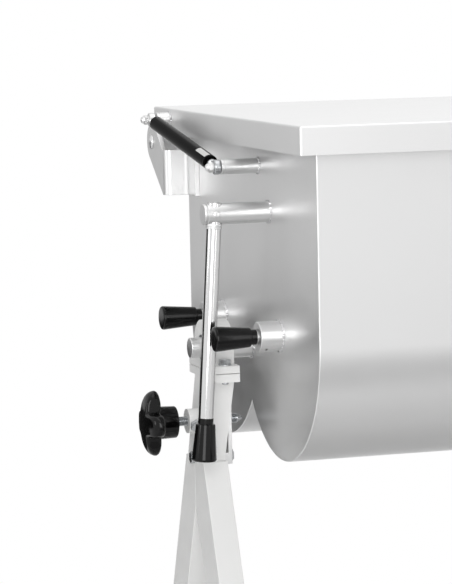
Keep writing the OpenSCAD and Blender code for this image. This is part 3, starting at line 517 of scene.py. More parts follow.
def weld_ring(place, direction, radius, thickness):
    """A rippled ring of weld round an axis."""
    bm = bmesh.new()
    section = Matrix.Translation((radius * MM, 0, 0)) @ Matrix.Rotation(math.pi / 2, 4, "X")
    bmesh.ops.create_circle(bm, segments=12, radius=thickness * MM, cap_ends=False,
                            matrix=section)
    bmesh.ops.spin(bm, geom=bm.verts[:] + bm.edges[:], cent=(0, 0, 0), axis=(0, 0, 1),
                   angle=2 * math.pi, steps=144, use_merge=True)
    for vert in bm.verts:
        seam = Vector((vert.co.x, vert.co.y, 0)).normalized() * radius * MM
        lumps = noise.noise(seam / (LUMP * MM)) * 0.5
        lumps += noise.noise(vert.co / (SPATTER * MM)) * 0.45
        turn = math.atan2(vert.co.y, vert.co.x)
        vert.co = seam + (vert.co - seam) * (1 + lumps + RIPPLE * math.sin(turn * radius * RIPPLES))
    bmesh.ops.recalc_face_normals(bm, faces=bm.faces[:])
    bmesh.ops.transform(bm, matrix=toward(place, direction), verts=bm.verts[:])
    return bm


print("a bead's lumps are", LUMP, "and", SPATTER, "mm long")

# %% [markdown]
# ## The trough
# The tank is one long sheet, bent round two shafts so that its section is two rounds side by
# side. The section is drawn as wire: a point at the rim goes down the front wall, is spun round
# each shaft to the ridge between them, and goes up the rear wall. The wire is then drawn out
# along the tank, its rim is folded outwards, and the sheet gets its thickness.

# %% Section of the trough, and the trough


def trough_wire(bm, x, radius, top):
    """Draws the trough's section at x and returns its first and last corner."""
    start = bm.verts.new(at(x, front_y - radius, top))
    last = bm.verts.new(at(x, front_y - radius, 0))
    bm.edges.new((start, last))
    sweep = math.pi - math.acos(-front_y / radius)
    for y in (front_y, -front_y):
        arc = bmesh.ops.spin(bm, geom=[last], cent=at(x, y, 0), axis=(1, 0, 0), angle=sweep,
                             steps=44)
        last = verts_of(arc["geom_last"])[0]
    end = bm.verts.new(at(x, -front_y + radius, top))
    bm.edges.new((last, end))
    return start, end


def faced_out(bm, centre):
    """Turns the faces of an open sheet so that they look away from a centre."""
    bmesh.ops.recalc_face_normals(bm, faces=bm.faces[:])
    outward = sum((f.calc_center_median() - centre).dot(f.normal) * f.calc_area()
                  for f in bm.faces)
    if outward < 0:
        bmesh.ops.reverse_faces(bm, faces=bm.faces[:])


RIM_BEND = 3


def trough_wall():
    bm = bmesh.new()
    start, end = trough_wire(bm, PLATE_T, trough_r, rim_z - WRAP_T)
    for corner, side in ((start, -1), (end, 1)):
        lip = bm.verts.new(corner.co + Y * side * rim_w * MM)
        bm.edges.new((corner, lip))
    grown = bmesh.ops.extrude_edge_only(bm, edges=bm.edges[:])["geom"]
    bmesh.ops.translate(bm, vec=X * (tank_len - 2 * PLATE_T) * MM, verts=verts_of(grown))
    faced_out(bm, middle("tank_wrap"))
    fold_z = at(0, 0, rim_z - WRAP_T - 1).z
    round_edges(bm, RIM_BEND, 4, 60, lambda e: lowest(e) > fold_z)
    bmesh.ops.solidify(bm, geom=bm.faces[:], thickness=WRAP_T * MM)
    return bm


add_piece("trough_sheet", trough_wall(), "tank", "stainless_sheet", satin_stainless, "tank_wrap")

# %% [markdown]
# ## End plates
# Each end plate is the filled section, with round holes for what goes through it. Its upper edge
# is bent outwards into a flange under the lid. The outer edge is where plate and wall were
# welded and ground to a small curve, which catches a thin bright line.

# %% Tool for end plates
WELDED_EDGE, FLANGE_EDGE = 1.3, 0.8


def end_plate(side, holes):
    """The left plate for side -1 and the right one for side 1; holes lists y, z and radius."""
    face_x = 0 if side < 0 else tank_len
    bm = bmesh.new()
    start, end = trough_wire(bm, face_x, trough_r, rim_z)
    bm.edges.new((end, start))
    for y, z, radius in holes:
        upright = Matrix.Translation(at(face_x, y, z)) @ Matrix.Rotation(math.pi / 2, 4, "Y")
        bmesh.ops.create_circle(bm, segments=48, radius=radius * MM, cap_ends=False,
                                matrix=upright)
    bmesh.ops.triangle_fill(bm, edges=bm.edges[:], use_beauty=True, use_dissolve=False, normal=X)
    grown = bmesh.ops.extrude_face_region(bm, geom=bm.faces[:] + bm.edges[:])["geom"]
    bmesh.ops.translate(bm, vec=X * -side * PLATE_T * MM, verts=verts_of(grown))
    bmesh.ops.recalc_face_normals(bm, faces=bm.faces[:])
    outer_x = at(face_x, 0, 0).x

    def outer_edge(edge):
        """Says whether an edge of the outer face lies clear of the holes."""
        start = edge.verts[0].co
        return (all(abs(v.co.x - outer_x) < TINY for v in edge.verts)
                and all((start - at(face_x, y, z)).length > (r + 1) * MM for y, z, r in holes))

    round_edges(bm, WELDED_EDGE, 4, 60, outer_edge)
    flange = box((face_x + side * rim_w, -wall_y, rim_z - PLATE_T),
                 (face_x - side * 0.5, wall_y, rim_z))
    return joined(bm, round_edges(flange, FLANGE_EDGE, 2))


print("end plates are", PLATE_T, "mm thick")

# %% End plates
pivot = drawn(joints["tank_tilt"]["pos_m"])
PIN_HOLE, BUSH_HOLE, DRIVE_HOLE = 8.2, 22, 14
left_holes, right_holes = [[(y, 0, radius) for y in (front_y, -front_y)]
                           for radius in (PIN_HOLE, BUSH_HOLE)]
right_holes.append((0, pivot.z, DRIVE_HOLE))
add_piece("left_end_plate", end_plate(-1, left_holes), "tank", "stainless_sheet",
          satin_stainless, "left_plate")
add_piece("right_end_plate", end_plate(1, right_holes), "tank", "stainless_sheet",
          satin_stainless, "right_plate")

# %% [markdown]
# ## The lid
# The lid is a shallow pan, folded down all round, with its corners welded and ground. Its back
# reaches lower, and cheeks at both ends hold the hinge pins. It starts as a handful of
# corner points, its folds are bevelled, and only then the sheet gets its thickness, so that the
# inner side follows the outer one.

# %% The lid's pan and its seal
lid_low, lid_high = drawn(low("lid_pan")), drawn(high("lid_pan"))
hinge = drawn(joints["lid_hinge"]["pos_m"])
CHEEK_AHEAD, SKIRT_H, LID_BEND = 18, 33, 2.4


def lid_pan():
    skirt, cheek = lid_high.z - SKIRT_H, hinge.y - CHEEK_AHEAD
    bm = bmesh.new()
    profile = [(lid_low.y, skirt), (lid_low.y, lid_high.z), (lid_high.y, lid_high.z),
               (lid_high.y, lid_low.z), (cheek, lid_low.z), (cheek, skirt)]
    left, right = [[bm.verts.new(at(x, y, z)) for y, z in profile] for x in (lid_low.x, lid_high.x)]
    bm.faces.new(left)
    bm.faces.new(right[::-1])
    for i in range(3):
        bm.faces.new((left[i], left[i + 1], right[i + 1], right[i]))
    faced_out(bm, middle("lid_pan"))
    round_edges(bm, LID_BEND, 4, 60)
    bmesh.ops.solidify(bm, geom=bm.faces[:], thickness=LID_T * MM)
    return bm


add_piece("lid_sheet", lid_pan(), "lid", "lid_sheet", blasted_stainless, "lid_pan")
add_copies("lid", "white_rubber", white_rubber, ("lid_gasket", "lid_seal", 1.6, 3))

# %% [markdown]
# ## Hinge brackets
# Each bracket is one strip of plate, bent twice: a wing lies on the tank, a web stands out from
# it, and an ear takes the hinge pin. The outline's flat faces are drawn first, with sharp folds.
# One fold is seen from inside, so it gets the inner bend radius, and the other from outside.
# Then the faces get the plate's thickness. The right bracket is the mirror image of the left.

# %% Hinge brackets
bracket_low = drawn(low("left_bracket"))
BRACKET_T, BRACKET_H, EAR_R, WING_W, BEND_IN, PLATE_EDGE = 6, 59, 25.5, 36, 4, 0.6
BEND_OUT = BEND_IN + BRACKET_T


def hinge_bracket(side):
    foot, top = bracket_low.z, bracket_low.z + BRACKET_H
    ear_x, wing_y = bracket_low.x, bracket_low.y
    web_y = wing_y + WING_W
    bm = bmesh.new()
    wing, fold, bend, neck = [[bm.verts.new(at(x, y, z)) for z in (foot, top)] for x, y in (
        (-BRACKET_T, wing_y), (-BRACKET_T, web_y), (ear_x, web_y), (ear_x, web_y + BEND_OUT + 1))]
    hub = at(ear_x, hinge.y, hinge.z)

    def touching(corner, sign):
        """Angle at which a line from a corner touches the ear's round end."""
        away = corner.co - hub
        return math.atan2(away.z, away.y) + sign * math.acos(EAR_R * MM / away.length)

    first, last = touching(neck[0], 1), touching(neck[1], -1)
    start = bm.verts.new(hub + Vector((0, math.cos(first), math.sin(first))) * EAR_R * MM)
    arc = bmesh.ops.spin(bm, geom=[start], cent=hub, axis=(1, 0, 0),
                         angle=(last - first) % (2 * math.pi), steps=28)
    end = verts_of(arc["geom_last"])[0]
    for pair in ((bend[0], neck[0]), (neck[0], start), (end, neck[1]), (neck[1], bend[1]),
                 (bend[1], bend[0])):
        bm.edges.new(pair)
    bmesh.ops.contextual_create(bm, geom=bm.edges[:])
    bm.faces.new((wing[0], wing[1], fold[1], fold[0]))
    bm.faces.new((fold[0], fold[1], bend[1], bend[0]))
    faced_out(bm, at(0, wall_y + 60, hinge.z - 30))
    round_edges(bm, BEND_OUT, 8, 60, lambda e: e.verts[0].co.x < at(-BRACKET_T - 1, 0, 0).x)
    round_edges(bm, BEND_IN, 8, 60)
    bmesh.ops.solidify(bm, geom=bm.faces[:], thickness=BRACKET_T * MM)
    round_edges(bm, PLATE_EDGE, 2, 60)
    if side > 0:
        centre = at(tank_len / 2, 0, 0).x
        bmesh.ops.scale(bm, vec=(-1, 1, 1), space=Matrix.Translation((-centre, 0, 0)),
                        verts=bm.verts[:])
        bmesh.ops.recalc_face_normals(bm, faces=bm.faces[:])
    return bm


for name, side in (("left", -1), ("right", 1)):
    add_piece(name + "_hinge_bracket", hinge_bracket(side), "tank", "stainless_sheet",
              pressed_stainless, name + "_bracket")

# %% [markdown]
# ## Hinge pins
# Pins, studs, bosses and sockets are all turned, so each is one profile: distances along the
# axis and radii. A domed head keeps a hinge pin in its ear, and a collar keeps the lid from
# rubbing on the bracket.

# %% Hinge pins
PIN_R, HEAD_R = 6, 9
pin_shank = [(-13.3, 0), (-13.3, PIN_R - 0.6), (-12.7, PIN_R), (-8.5, PIN_R),
             (-8.5, HEAD_R - 0.4), (-8.1, HEAD_R), (-6.3, HEAD_R), (-6, HEAD_R - 0.3),
             (-6, PIN_R), (0, PIN_R)]
pin_head = [(0, HEAD_R - 0.3), (0.3, HEAD_R), (1.2, HEAD_R), (2.2, HEAD_R - 0.7),
            (3.1, HEAD_R - 2), (3.9, HEAD_R - 4), (4.4, HEAD_R - 6.3), (4.6, 0)]
hinge_pins = [spun(pin_shank + pin_head, at(x, hinge.y, hinge.z), direction)
              for x, direction in ((bracket_low.x, -X), (tank_len - bracket_low.x, X))]
add_piece("hinge_pin_pair", joined(*hinge_pins), "tank", "turned_steel", turned_stainless,
          "hinge_pins")

# %% [markdown]
# ## Journal, release bosses and pins
# The journal that the tank turns on is a stepped bar with a chamfered end. The bosses hold the
# release pins and their springs, and each has a small hole low at its front, to let water out
# after cleaning. As on the real boss, the hole is drilled after turning.

# %% Journal
JOURNAL_R, COLLAR_R, COLLAR_LEN = 12.5, 15, 31
journal_len = -drawn(low("left_trunnion")).x
journal = [(-0.5, 0), (-0.5, COLLAR_R), (COLLAR_LEN - 1, COLLAR_R), (COLLAR_LEN, COLLAR_R - 1),
           (COLLAR_LEN, JOURNAL_R), (journal_len - 1.2, JOURNAL_R),
           (journal_len - 0.4, JOURNAL_R - 0.5), (journal_len, JOURNAL_R - 1.3), (journal_len, 0)]
add_piece("left_journal", spun(journal, at(0, pivot.y, pivot.z), -X), "tank", "turned_steel",
          turned_stainless, "left_trunnion")

# %% Release bosses and pins
BOSS_R, BORE_R, HOLLOW_R, CAP_WALL, RELEASE_R, STOP_R = 18, 8.2, 13, 3, 8, 12.3
VENT_R, VENT_AT, VENT_TURN = 1.8, 8, math.radians(55)
VENT_DIR = Vector((0, -math.cos(VENT_TURN), -math.sin(VENT_TURN)))
boss_len = -drawn(low("front_boss")).x
boss_outside = [(-0.2, BOSS_R), (boss_len - 1.1, BOSS_R), (boss_len - 0.5, BOSS_R - 0.3),
                (boss_len - 0.1, BOSS_R - 1), (boss_len, BOSS_R - 1.8)]
boss_inside = [(boss_len, BORE_R + 0.8), (boss_len - 0.7, BORE_R), (boss_len - CAP_WALL, BORE_R),
               (boss_len - CAP_WALL, HOLLOW_R), (-0.2, HOLLOW_R)]
pin_along = [(-17, 0), (-17, RELEASE_R - 1), (-16, RELEASE_R), (0.3, RELEASE_R), (0.3, STOP_R),
             (3.3, STOP_R), (3.3, RELEASE_R), (50.8, RELEASE_R), (50.8, 0)]
for name, y in (("front", front_y), ("rear", -front_y)):
    vent_at = at(VENT_AT - boss_len, y, 0) + VENT_DIR * (BOSS_R + 1) * MM
    boss = bored(spun(boss_outside + boss_inside, at(0, y, 0), -X, closed=True),
                 drill(VENT_R, vent_at, -VENT_DIR, BOSS_R))
    add_piece(name + "_spring_boss", boss, "tank", "turned_steel", ground_stainless, name + "_boss")
    add_piece(name + "_release_pin", spun(pin_along, at(0, y, 0), -X), name + "_release",
              "turned_steel", turned_stainless, name + "_plunger")

# %% [markdown]
# ## The handle's socket and bar
# The socket is a bar welded to the end plate, with a groove turned near its end. The handle bar
# goes through it at a small lean, with a collar below, and is held by a screw whose head lies
# flush in the socket's front. The bore is cut along the bar's own axis, which the frame gives
# as the direction that the handle slides in.

# %% Socket and collar
SOCKET_R, BAR_R, SOCKET_Z, BAR_FIT = 12.5, 9, 145, 0.05
CAP_T, GROOVE_W, GROOVE_H = 3.4, 1.1, 1.2
COLLAR_TOP, COLLAR_END = -11.5, -17.5
bar_dir = Vector(joints["handle_slide"]["axis"]).normalized()
bar_mid = drawn(middle("handle_bar"))
crossing = bar_mid + bar_dir * ((SOCKET_Z - bar_mid.z) / bar_dir.z)
socket_len = -drawn(low("handle_socket")).x
groove = socket_len - CAP_T

stem = [(-0.5, 0), (-0.5, SOCKET_R), (groove - GROOVE_W - 0.4, SOCKET_R),
        (groove - GROOVE_W, SOCKET_R - 0.4), (groove - GROOVE_W, SOCKET_R - GROOVE_H)]
cap = [(groove, SOCKET_R - GROOVE_H), (groove, SOCKET_R - 0.5), (groove + 0.5, SOCKET_R),
       (socket_len - 0.9, SOCKET_R), (socket_len - 0.2, SOCKET_R - 0.4),
       (socket_len, SOCKET_R - 1.1), (socket_len, 0)]
socket = bored(spun(stem + cap, at(0, crossing.y, SOCKET_Z), -X),
               drill(BAR_R + BAR_FIT, at(*(crossing - bar_dir * 40)), bar_dir, 80, 72))
collar = [(COLLAR_TOP, BAR_R + BAR_FIT), (COLLAR_TOP, BAR_R + 0.9), (COLLAR_TOP - 2.2, BAR_R + 1),
          (COLLAR_TOP - 2.6, BAR_R + 0.5), (COLLAR_TOP - 3.2, BAR_R + 0.5),
          (COLLAR_TOP - 3.6, BAR_R + 1), (COLLAR_END + 0.5, BAR_R + 0.9),
          (COLLAR_END, BAR_R + 0.4), (COLLAR_END, BAR_R + BAR_FIT)]
add_piece("bar_socket", joined(socket, spun(collar, at(*crossing), bar_dir, closed=True)),
          "tank", "turned_steel", ground_stainless, "handle_socket")

# %% Screw and handle bar
# The bar's end in its grip and its top are measured along the bar from the socket's middle
SCREW_R, BAR_LEN, GRIP_LEN, BAR_IN_GRIP = 4.4, 312, 52, 11
screw = [(0, 0), (0.05, 1.6), (0.2, 2.9), (0.5, SCREW_R - 0.5), (1, SCREW_R), (3.4, SCREW_R),
         (3.4, 0)]
add_piece("bar_screw", spun(screw, at(crossing.x, crossing.y - SOCKET_R - 0.9, SOCKET_Z), Y),
          "tank", "turned_steel", turned_stainless, "set_screw")

bar_end = (drawn(high("handle_bar")).z - SOCKET_Z) / bar_dir.z - BAR_LEN
bar_top = SOCKET_R + 1.6
bar = [(bar_end + BAR_IN_GRIP, 0), (bar_end + BAR_IN_GRIP, BAR_R), (bar_top - 1.6, BAR_R),
       (bar_top - 0.7, BAR_R - 0.4), (bar_top - 0.2, BAR_R - 1.2), (bar_top, BAR_R - 2.4),
       (bar_top, 0)]
add_piece("chromed_bar", spun(bar, at(*crossing), bar_dir, steps=96), "tilt_handle",
          "polished_bar", polished_bar, "handle_bar")

# %% [markdown]
# ## Grips
# The three grips are the same moulding: a neck, a shoulder, a taper and a slightly domed end. The
# radius between them is what draws the fine highlights of gloss phenolic, so each step of the
# profile has its own small round.

# %% Grips
NECK_R, NECK_LEN, SHOULDER_R, GRIP_R, DOME_H, DOME_ROUND = 9.25, 7, 11.75, 15, 3, 2.5
grip = [(0, NECK_R - 0.1), (0.7, NECK_R), (NECK_LEN - 0.4, NECK_R), (NECK_LEN, NECK_R + 0.4),
        (NECK_LEN + 0.1, SHOULDER_R - 1), (NECK_LEN + 0.5, SHOULDER_R - 0.35),
        (NECK_LEN + 1.6, SHOULDER_R)]
grip += [(NECK_LEN + 1.6 + share * (GRIP_LEN - DOME_H - NECK_LEN - 1.6),
          SHOULDER_R + share * (GRIP_R - SHOULDER_R)) for share in (0.25, 0.5, 0.75, 1)]
grip += [(GRIP_LEN - DOME_H * (1 - math.sin(a)), GRIP_R - DOME_ROUND + DOME_ROUND * math.cos(a))
         for a in (math.radians(d) for d in (15, 35, 55, 70))]
grip += [(GRIP_LEN - 0.02, GRIP_R * 0.7), (GRIP_LEN, GRIP_R * 0.35), (GRIP_LEN, 0)]

neck_x = drawn(high("front_grip")).x
for name, y in (("front", front_y), ("rear", -front_y)):
    add_piece(name + "_release_grip", spun([(0, RELEASE_R)] + grip, at(neck_x, y, 0), -X),
              name + "_release", "black_bakelite", phenolic_black, name + "_grip")
grip_end = crossing + bar_dir * (bar_end + GRIP_LEN)
add_piece("handle_knob", spun([(0, BAR_R)] + grip, at(*grip_end), -bar_dir), "tilt_handle",
          "black_bakelite", phenolic_black, "handle_grip")

# %% [markdown]
# ## Nuts
# Nuts and bolt heads are hexagons whose corners are turned off. The start is a cone with six
# sides and equal radii, and its two rims are bevelled by a share of the hexagon's width.

# %% Tool for hexagons
RIM_SHARE = 0.035


def nut(place, direction, across, height):
    """A hexagon with its corners turned off, as a nut or a bolt's head has."""
    bm = bmesh.new()
    corner_r = across / math.sqrt(3) * MM
    bmesh.ops.create_cone(bm, cap_ends=True, segments=6, radius1=corner_r, radius2=corner_r,
                          depth=height * MM)
    bmesh.ops.translate(bm, vec=(0, 0, height * MM / 2), verts=bm.verts[:])
    bm.normal_update()
    rims = [e for e in bm.edges if abs(e.verts[0].co.z - e.verts[1].co.z) < TINY]
    bmesh.ops.bevel(bm, geom=rims, offset=across * RIM_SHARE * MM, offset_type="OFFSET",
                    segments=2, profile=0.5, affect="EDGES", clamp_overlap=True, material=-1)
    bmesh.ops.transform(bm, matrix=toward(place, direction), verts=bm.verts[:])
    return bm


print("a nut's rim is taken off by", RIM_SHARE, "of its width")

# %% [markdown]
# ## Gas spring
# A gas spring is a lacquered tube with a thin rod. The tube's end is rolled in to hold the seal,
# and eyes of bare metal are screwed on at both ends. Its lower eye turns on a stud of the tank,
# and its upper one on the lid, and a cap nut keeps each eye in its place.

# %% Studs and cap nuts
STUD_R, EYE_R, EYE_HALF, EYE_PIN_R, EYE_FIT = 9, 9, 4.2, 4, 0.05
NUT_ACROSS, NUT_H, NUT_WASHER_T = 11, 4.6, 1.1
LID_STUD_LEN = 18
low_eye = drawn(joints["strut_swing"]["pos_m"])
strut_dir = Vector(joints["strut_slide"]["axis"]).normalized()
up_eye = drawn(middle("lid_stud"))
up_eye.x = low_eye.x
strut_len = (up_eye - low_eye).length
stud_end = -low_eye.x - EYE_HALF - 0.3
stud_pin_end = -low_eye.x + EYE_HALF + 2


def acorn(eye):
    """A cap nut with its washer, on the outer face of an eye."""
    seat = at(eye.x - EYE_HALF - 0.2, eye.y, eye.z)
    washer = [(0, EYE_PIN_R), (0, 5.8), (0.3, 6), (0.9, 6), (NUT_WASHER_T, 5.8),
              (NUT_WASHER_T, 0)]
    cap = [(5.2, 0), (5.2, 4.9), (6.4, 4.8), (7.6, 4.4), (8.7, 3.6), (9.5, 2.5), (9.9, 1.2),
           (10, 0)]
    return joined(spun(washer, seat, -X, steps=48),
                  nut(seat - X * NUT_WASHER_T * MM, -X, NUT_ACROSS, NUT_H),
                  spun(cap, seat, -X, steps=48))


tank_stud = [(-0.5, 0), (-0.5, STUD_R), (stud_end - 4, STUD_R), (stud_end - 3.6, STUD_R - 0.5),
             (stud_end - 3, STUD_R - 0.5), (stud_end - 2.6, STUD_R), (stud_end - 0.5, STUD_R),
             (stud_end, STUD_R - 0.5), (stud_end, EYE_PIN_R), (stud_pin_end, EYE_PIN_R),
             (stud_pin_end, 0)]
add_piece("lower_stud", joined(spun(tank_stud, at(0, low_eye.y, low_eye.z), -X), acorn(low_eye)),
          "tank", "turned_steel", ground_stainless, "strut_stud")
lid_face = drawn(high("lid_stud")).x
lid_stud = [(-0.3, 0), (-0.3, STUD_R), (LID_STUD_LEN - 4, STUD_R),
            (LID_STUD_LEN - 3.6, STUD_R - 0.5), (LID_STUD_LEN - 3, STUD_R - 0.5),
            (LID_STUD_LEN - 2.6, STUD_R), (LID_STUD_LEN - 0.6, STUD_R),
            (LID_STUD_LEN, STUD_R - 0.6), (LID_STUD_LEN, 0)]
add_piece("upper_stud", spun(lid_stud, at(lid_face, up_eye.y, up_eye.z), -X), "lid",
          "turned_steel", ground_stainless, "lid_stud")

# %% Rod, tube and upper fitting
ROD_R, PISTON_R, PISTON_AT, PISTON_LEN = 4, 7.9, 124, 12
TUBE_R, TUBE_AT, TUBE_GAP, TUBE_BORE, SEAL_R = 9.25, 24, 24, 8.05, 4.1
tube_end = strut_len - TUBE_GAP
eye = [(-EYE_HALF, EYE_PIN_R + EYE_FIT), (-EYE_HALF, EYE_R - 2), (-EYE_HALF + 0.6, EYE_R - 0.8),
       (-EYE_HALF + 1.7, EYE_R), (EYE_HALF - 1.7, EYE_R), (EYE_HALF - 0.6, EYE_R - 0.8),
       (EYE_HALF, EYE_R - 2), (EYE_HALF, EYE_PIN_R + EYE_FIT)]
rod = [(9, 0), (9, 5), (14, 5), (14.6, 4.5), (15.4, 4.5), (16, 6.2), (20.5, 6.2), (21, ROD_R),
       (PISTON_AT, ROD_R), (PISTON_AT, PISTON_R), (PISTON_AT + PISTON_LEN, PISTON_R),
       (PISTON_AT + PISTON_LEN, 0)]
add_piece("spring_rod", joined(spun(eye, at(*low_eye), X, closed=True),
                               spun(rod, at(*low_eye), strut_dir)),
          "strut_rod", "turned_steel", zinc_plated, "strut_rod")
tube_outside = [(tube_end, 0), (tube_end, 7), (tube_end - 1, 8.5), (tube_end - 2.6, TUBE_R),
                (TUBE_AT + 10, TUBE_R), (TUBE_AT + 9, TUBE_R - 0.5), (TUBE_AT + 7.6, TUBE_R - 0.5),
                (TUBE_AT + 6.6, TUBE_R), (TUBE_AT + 2.4, TUBE_R), (TUBE_AT + 1, 8.7)]
tube_inside = [(TUBE_AT, 7.6), (TUBE_AT, SEAL_R), (TUBE_AT + 12, SEAL_R), (TUBE_AT + 12, TUBE_BORE),
               (tube_end - 5, TUBE_BORE), (tube_end - 5, 0)]
add_piece("spring_tube", spun(tube_outside + tube_inside, at(*low_eye), strut_dir),
          "strut_cylinder", "black_lacquer", black_lacquer, "strut_cylinder")
neck = [(tube_end - 0.5, 0), (tube_end - 0.5, 5), (strut_len - EYE_R, 5), (strut_len - EYE_R, 0)]
eye_pin = [(-6, 0), (-6, EYE_PIN_R), (EYE_HALF + 2, EYE_PIN_R), (EYE_HALF + 2, 0)]
add_piece("upper_fitting", joined(spun(eye, at(*up_eye), X, closed=True),
                                  spun(neck, at(*low_eye), strut_dir),
                                  spun(eye_pin, at(*up_eye), -X), acorn(up_eye)),
          "strut_cylinder", "turned_steel", turned_stainless)

# %% [markdown]
# ## Film on the tube
# A plain pale film without any print is stuck on the tube near its lower end. It starts as a
# line just above the lacquer, which is spun round the tube by part of a turn, and the strip
# then gets its thickness.

# %% Film
FILM_FROM, FILM_TO, FILM_T, FILM_LIFT = 30, 70, 0.12, 0.06
FILM_TURN, FILM_HALF = math.radians(-20), math.radians(24)


def film_patch():
    """A thin strip of film, curved to the tube."""
    bm = bmesh.new()
    edge = [bm.verts.new((0, (TUBE_R + FILM_LIFT) * MM, s * MM)) for s in (FILM_FROM, FILM_TO)]
    bm.edges.new(edge)
    bmesh.ops.rotate(bm, cent=(0, 0, 0), matrix=Matrix.Rotation(FILM_TURN - FILM_HALF, 3, "Z"),
                     verts=bm.verts[:])
    bmesh.ops.spin(bm, geom=bm.verts[:] + bm.edges[:], cent=(0, 0, 0), axis=(0, 0, 1),
                   angle=2 * FILM_HALF, steps=10)
    bmesh.ops.transform(bm, matrix=toward(at(*low_eye), strut_dir), verts=bm.verts[:])
    faced_out(bm, at(*(low_eye + strut_dir * (FILM_FROM + FILM_TO) / 2)))
    bmesh.ops.solidify(bm, geom=bm.faces[:], thickness=FILM_T * MM)
    return bm


add_piece("plain_film_patch", film_patch(), "strut_cylinder", "black_lacquer", plain_film)

# %% [markdown]
# ## Welds at the tank
# Every stud on the end plate and the lid gets its bead, a little wider than the stud it runs
# round. The middle of the bead's section lies just outside the sheet, so about half of it shows.

# %% Welds
PROUD, WIDER, LID_BEAD = 0.4, 0.2, 1.3
beads = [(low_eye.y, low_eye.z, STUD_R, 1.4), (crossing.y, SOCKET_Z, SOCKET_R, 1.5),
         (front_y, 0, BOSS_R, 1.7), (-front_y, 0, BOSS_R, 1.7),
         (pivot.y, pivot.z, COLLAR_R, 1.8)]
rings = [weld_ring(at(-PROUD, y, z), -X, radius + WIDER, bead) for y, z, radius, bead in beads]
add_piece("stud_welds", joined(*rings), "tank", "turned_steel", weld_metal)
lid_bead_at = at(lid_face - PROUD, up_eye.y, up_eye.z)
add_piece("lid_stud_weld", weld_ring(lid_bead_at, -X, STUD_R + WIDER, LID_BEAD), "lid",
          "turned_steel", weld_metal)

# %% [markdown]
# ## Lock screw
# A screw through the post presses on the end plate and keeps the tank upright. Its thread is one
# small ridge, spun round the axis while it moves along by one pitch a turn. Two planes then cut
# the thread to length, and the cuts are filled.

# %% Lock screw
THREAD_R, THREAD_PITCH, POINT_LEN, TURN_STEPS = 6, 1.75, 8, 20
lock_z = drawn(joints["lock_turn"]["pos_m"]).z
spindle_from, spindle_to = drawn(low("lock_spindle")).x, drawn(high("lock_spindle")).x
thread_end = spindle_to - POINT_LEN


def threaded(radius, pitch, length, place, direction):
    """A screw thread of a length, closed at both ends."""
    turns = math.ceil(length / pitch) + 2
    bm = bmesh.new()
    root = radius - 0.6 * pitch
    ridge = [bm.verts.new((r * MM, 0, z * MM)) for r, z in (
        (root, -pitch), (radius, -0.56 * pitch), (radius, -0.44 * pitch), (root, 0))]
    for pair in zip(ridge, ridge[1:]):
        bm.edges.new(pair)
    bmesh.ops.spin(bm, geom=bm.verts[:] + bm.edges[:], cent=(0, 0, 0), axis=(0, 0, 1),
                   dvec=(0, 0, pitch / TURN_STEPS * MM), angle=2 * math.pi * turns,
                   steps=TURN_STEPS * turns)
    bmesh.ops.remove_doubles(bm, verts=bm.verts[:], dist=HAIR)
    for z, side in ((0, -1), (length * MM, 1)):
        everything = bm.verts[:] + bm.edges[:] + bm.faces[:]
        cut = bmesh.ops.bisect_plane(bm, geom=everything, plane_co=(0, 0, z),
                                     plane_no=(0, 0, side), clear_outer=True)
        rim = [g for g in cut["geom_cut"] if isinstance(g, bmesh.types.BMEdge)]
        bmesh.ops.holes_fill(bm, edges=rim, sides=0)
    bmesh.ops.recalc_face_normals(bm, faces=bm.faces[:])
    bmesh.ops.transform(bm, matrix=toward(place, direction), verts=bm.verts[:])
    return bm


thread = threaded(THREAD_R, THREAD_PITCH, thread_end - spindle_from,
                  at(spindle_from, 0, lock_z), X)
point = [(-0.2, 0), (-0.2, THREAD_R - 0.8), (0.4, THREAD_R - 0.6), (POINT_LEN - 1, 2),
         (POINT_LEN - 0.3, 1.2), (POINT_LEN, 0)]
add_piece("lock_screw_thread", joined(thread, spun(point, at(thread_end, 0, lock_z), X)),
          "lock_screw", "turned_steel", zinc_plated, "lock_spindle")

# %% [markdown]
# ## Star knob
# The knob's outline is four round lobes that run into each other, so it is worked out by angle:
# how far the outline is from the axis on the way to a lobe, along its flank, or in the valley
# between two. The mesh starts as a circle and is drawn out along the screw in rings. Each
# ring's points go to a share of the outline, and the rings of the front follow a shallow dome.

# %% The star's outline
LOBE_R, LOBE_LEN, BACK_H, DOME_RISE = 13, 20, 9, 13
knob_low, knob_high = drawn(low("lock_knob")), drawn(high("lock_knob"))
star_reach = (knob_high.z - knob_low.z) / 2
valley_r, blend, lobe_from = LOBE_R * 1.56, 6, 0.9


def star_radius(turn):
    """How far the star's outline is from the axis at an angle."""
    along = (turn + math.pi / 4) % (math.pi / 2) - math.pi / 4
    centre = star_reach - LOBE_R
    across = centre * math.sin(along)
    lobe = centre * math.cos(along) + math.sqrt(max(LOBE_R ** 2 - across ** 2, 0))
    flank = LOBE_R / max(abs(math.sin(along)), 1e-3)
    on_lobe = (abs(across) < LOBE_R and centre * math.cos(along) < lobe
               and lobe * abs(math.sin(along)) < LOBE_R)
    reach = lobe if on_lobe else flank
    if reach >= star_reach * lobe_from:
        return reach
    return (min(reach, flank, star_reach) ** blend + valley_r ** blend) ** (1 / blend)


print("lobes reach", round(star_reach, 1), "mm from the axis")

# %% Star knob and hub
# Each ring's share of the outline and its height, above the back or above the dome
back_rings = [(0.4, 0), (0.7, 0), (0.82, 0.4), (0.91, 1.4), (0.97, 3), (1, 5.2)]
dome_rings = [(1, -4.4), (0.985, -3), (0.95, -1.6), (0.9, -0.7), (0.83, -0.2), (0.75, 0),
              (0.55, 0), (0.35, 0), (0.15, 0)]


def dome_height(radius):
    return BACK_H + DOME_RISE * math.sqrt(1 - min(radius / (star_reach + 0.5), 1) ** 2)


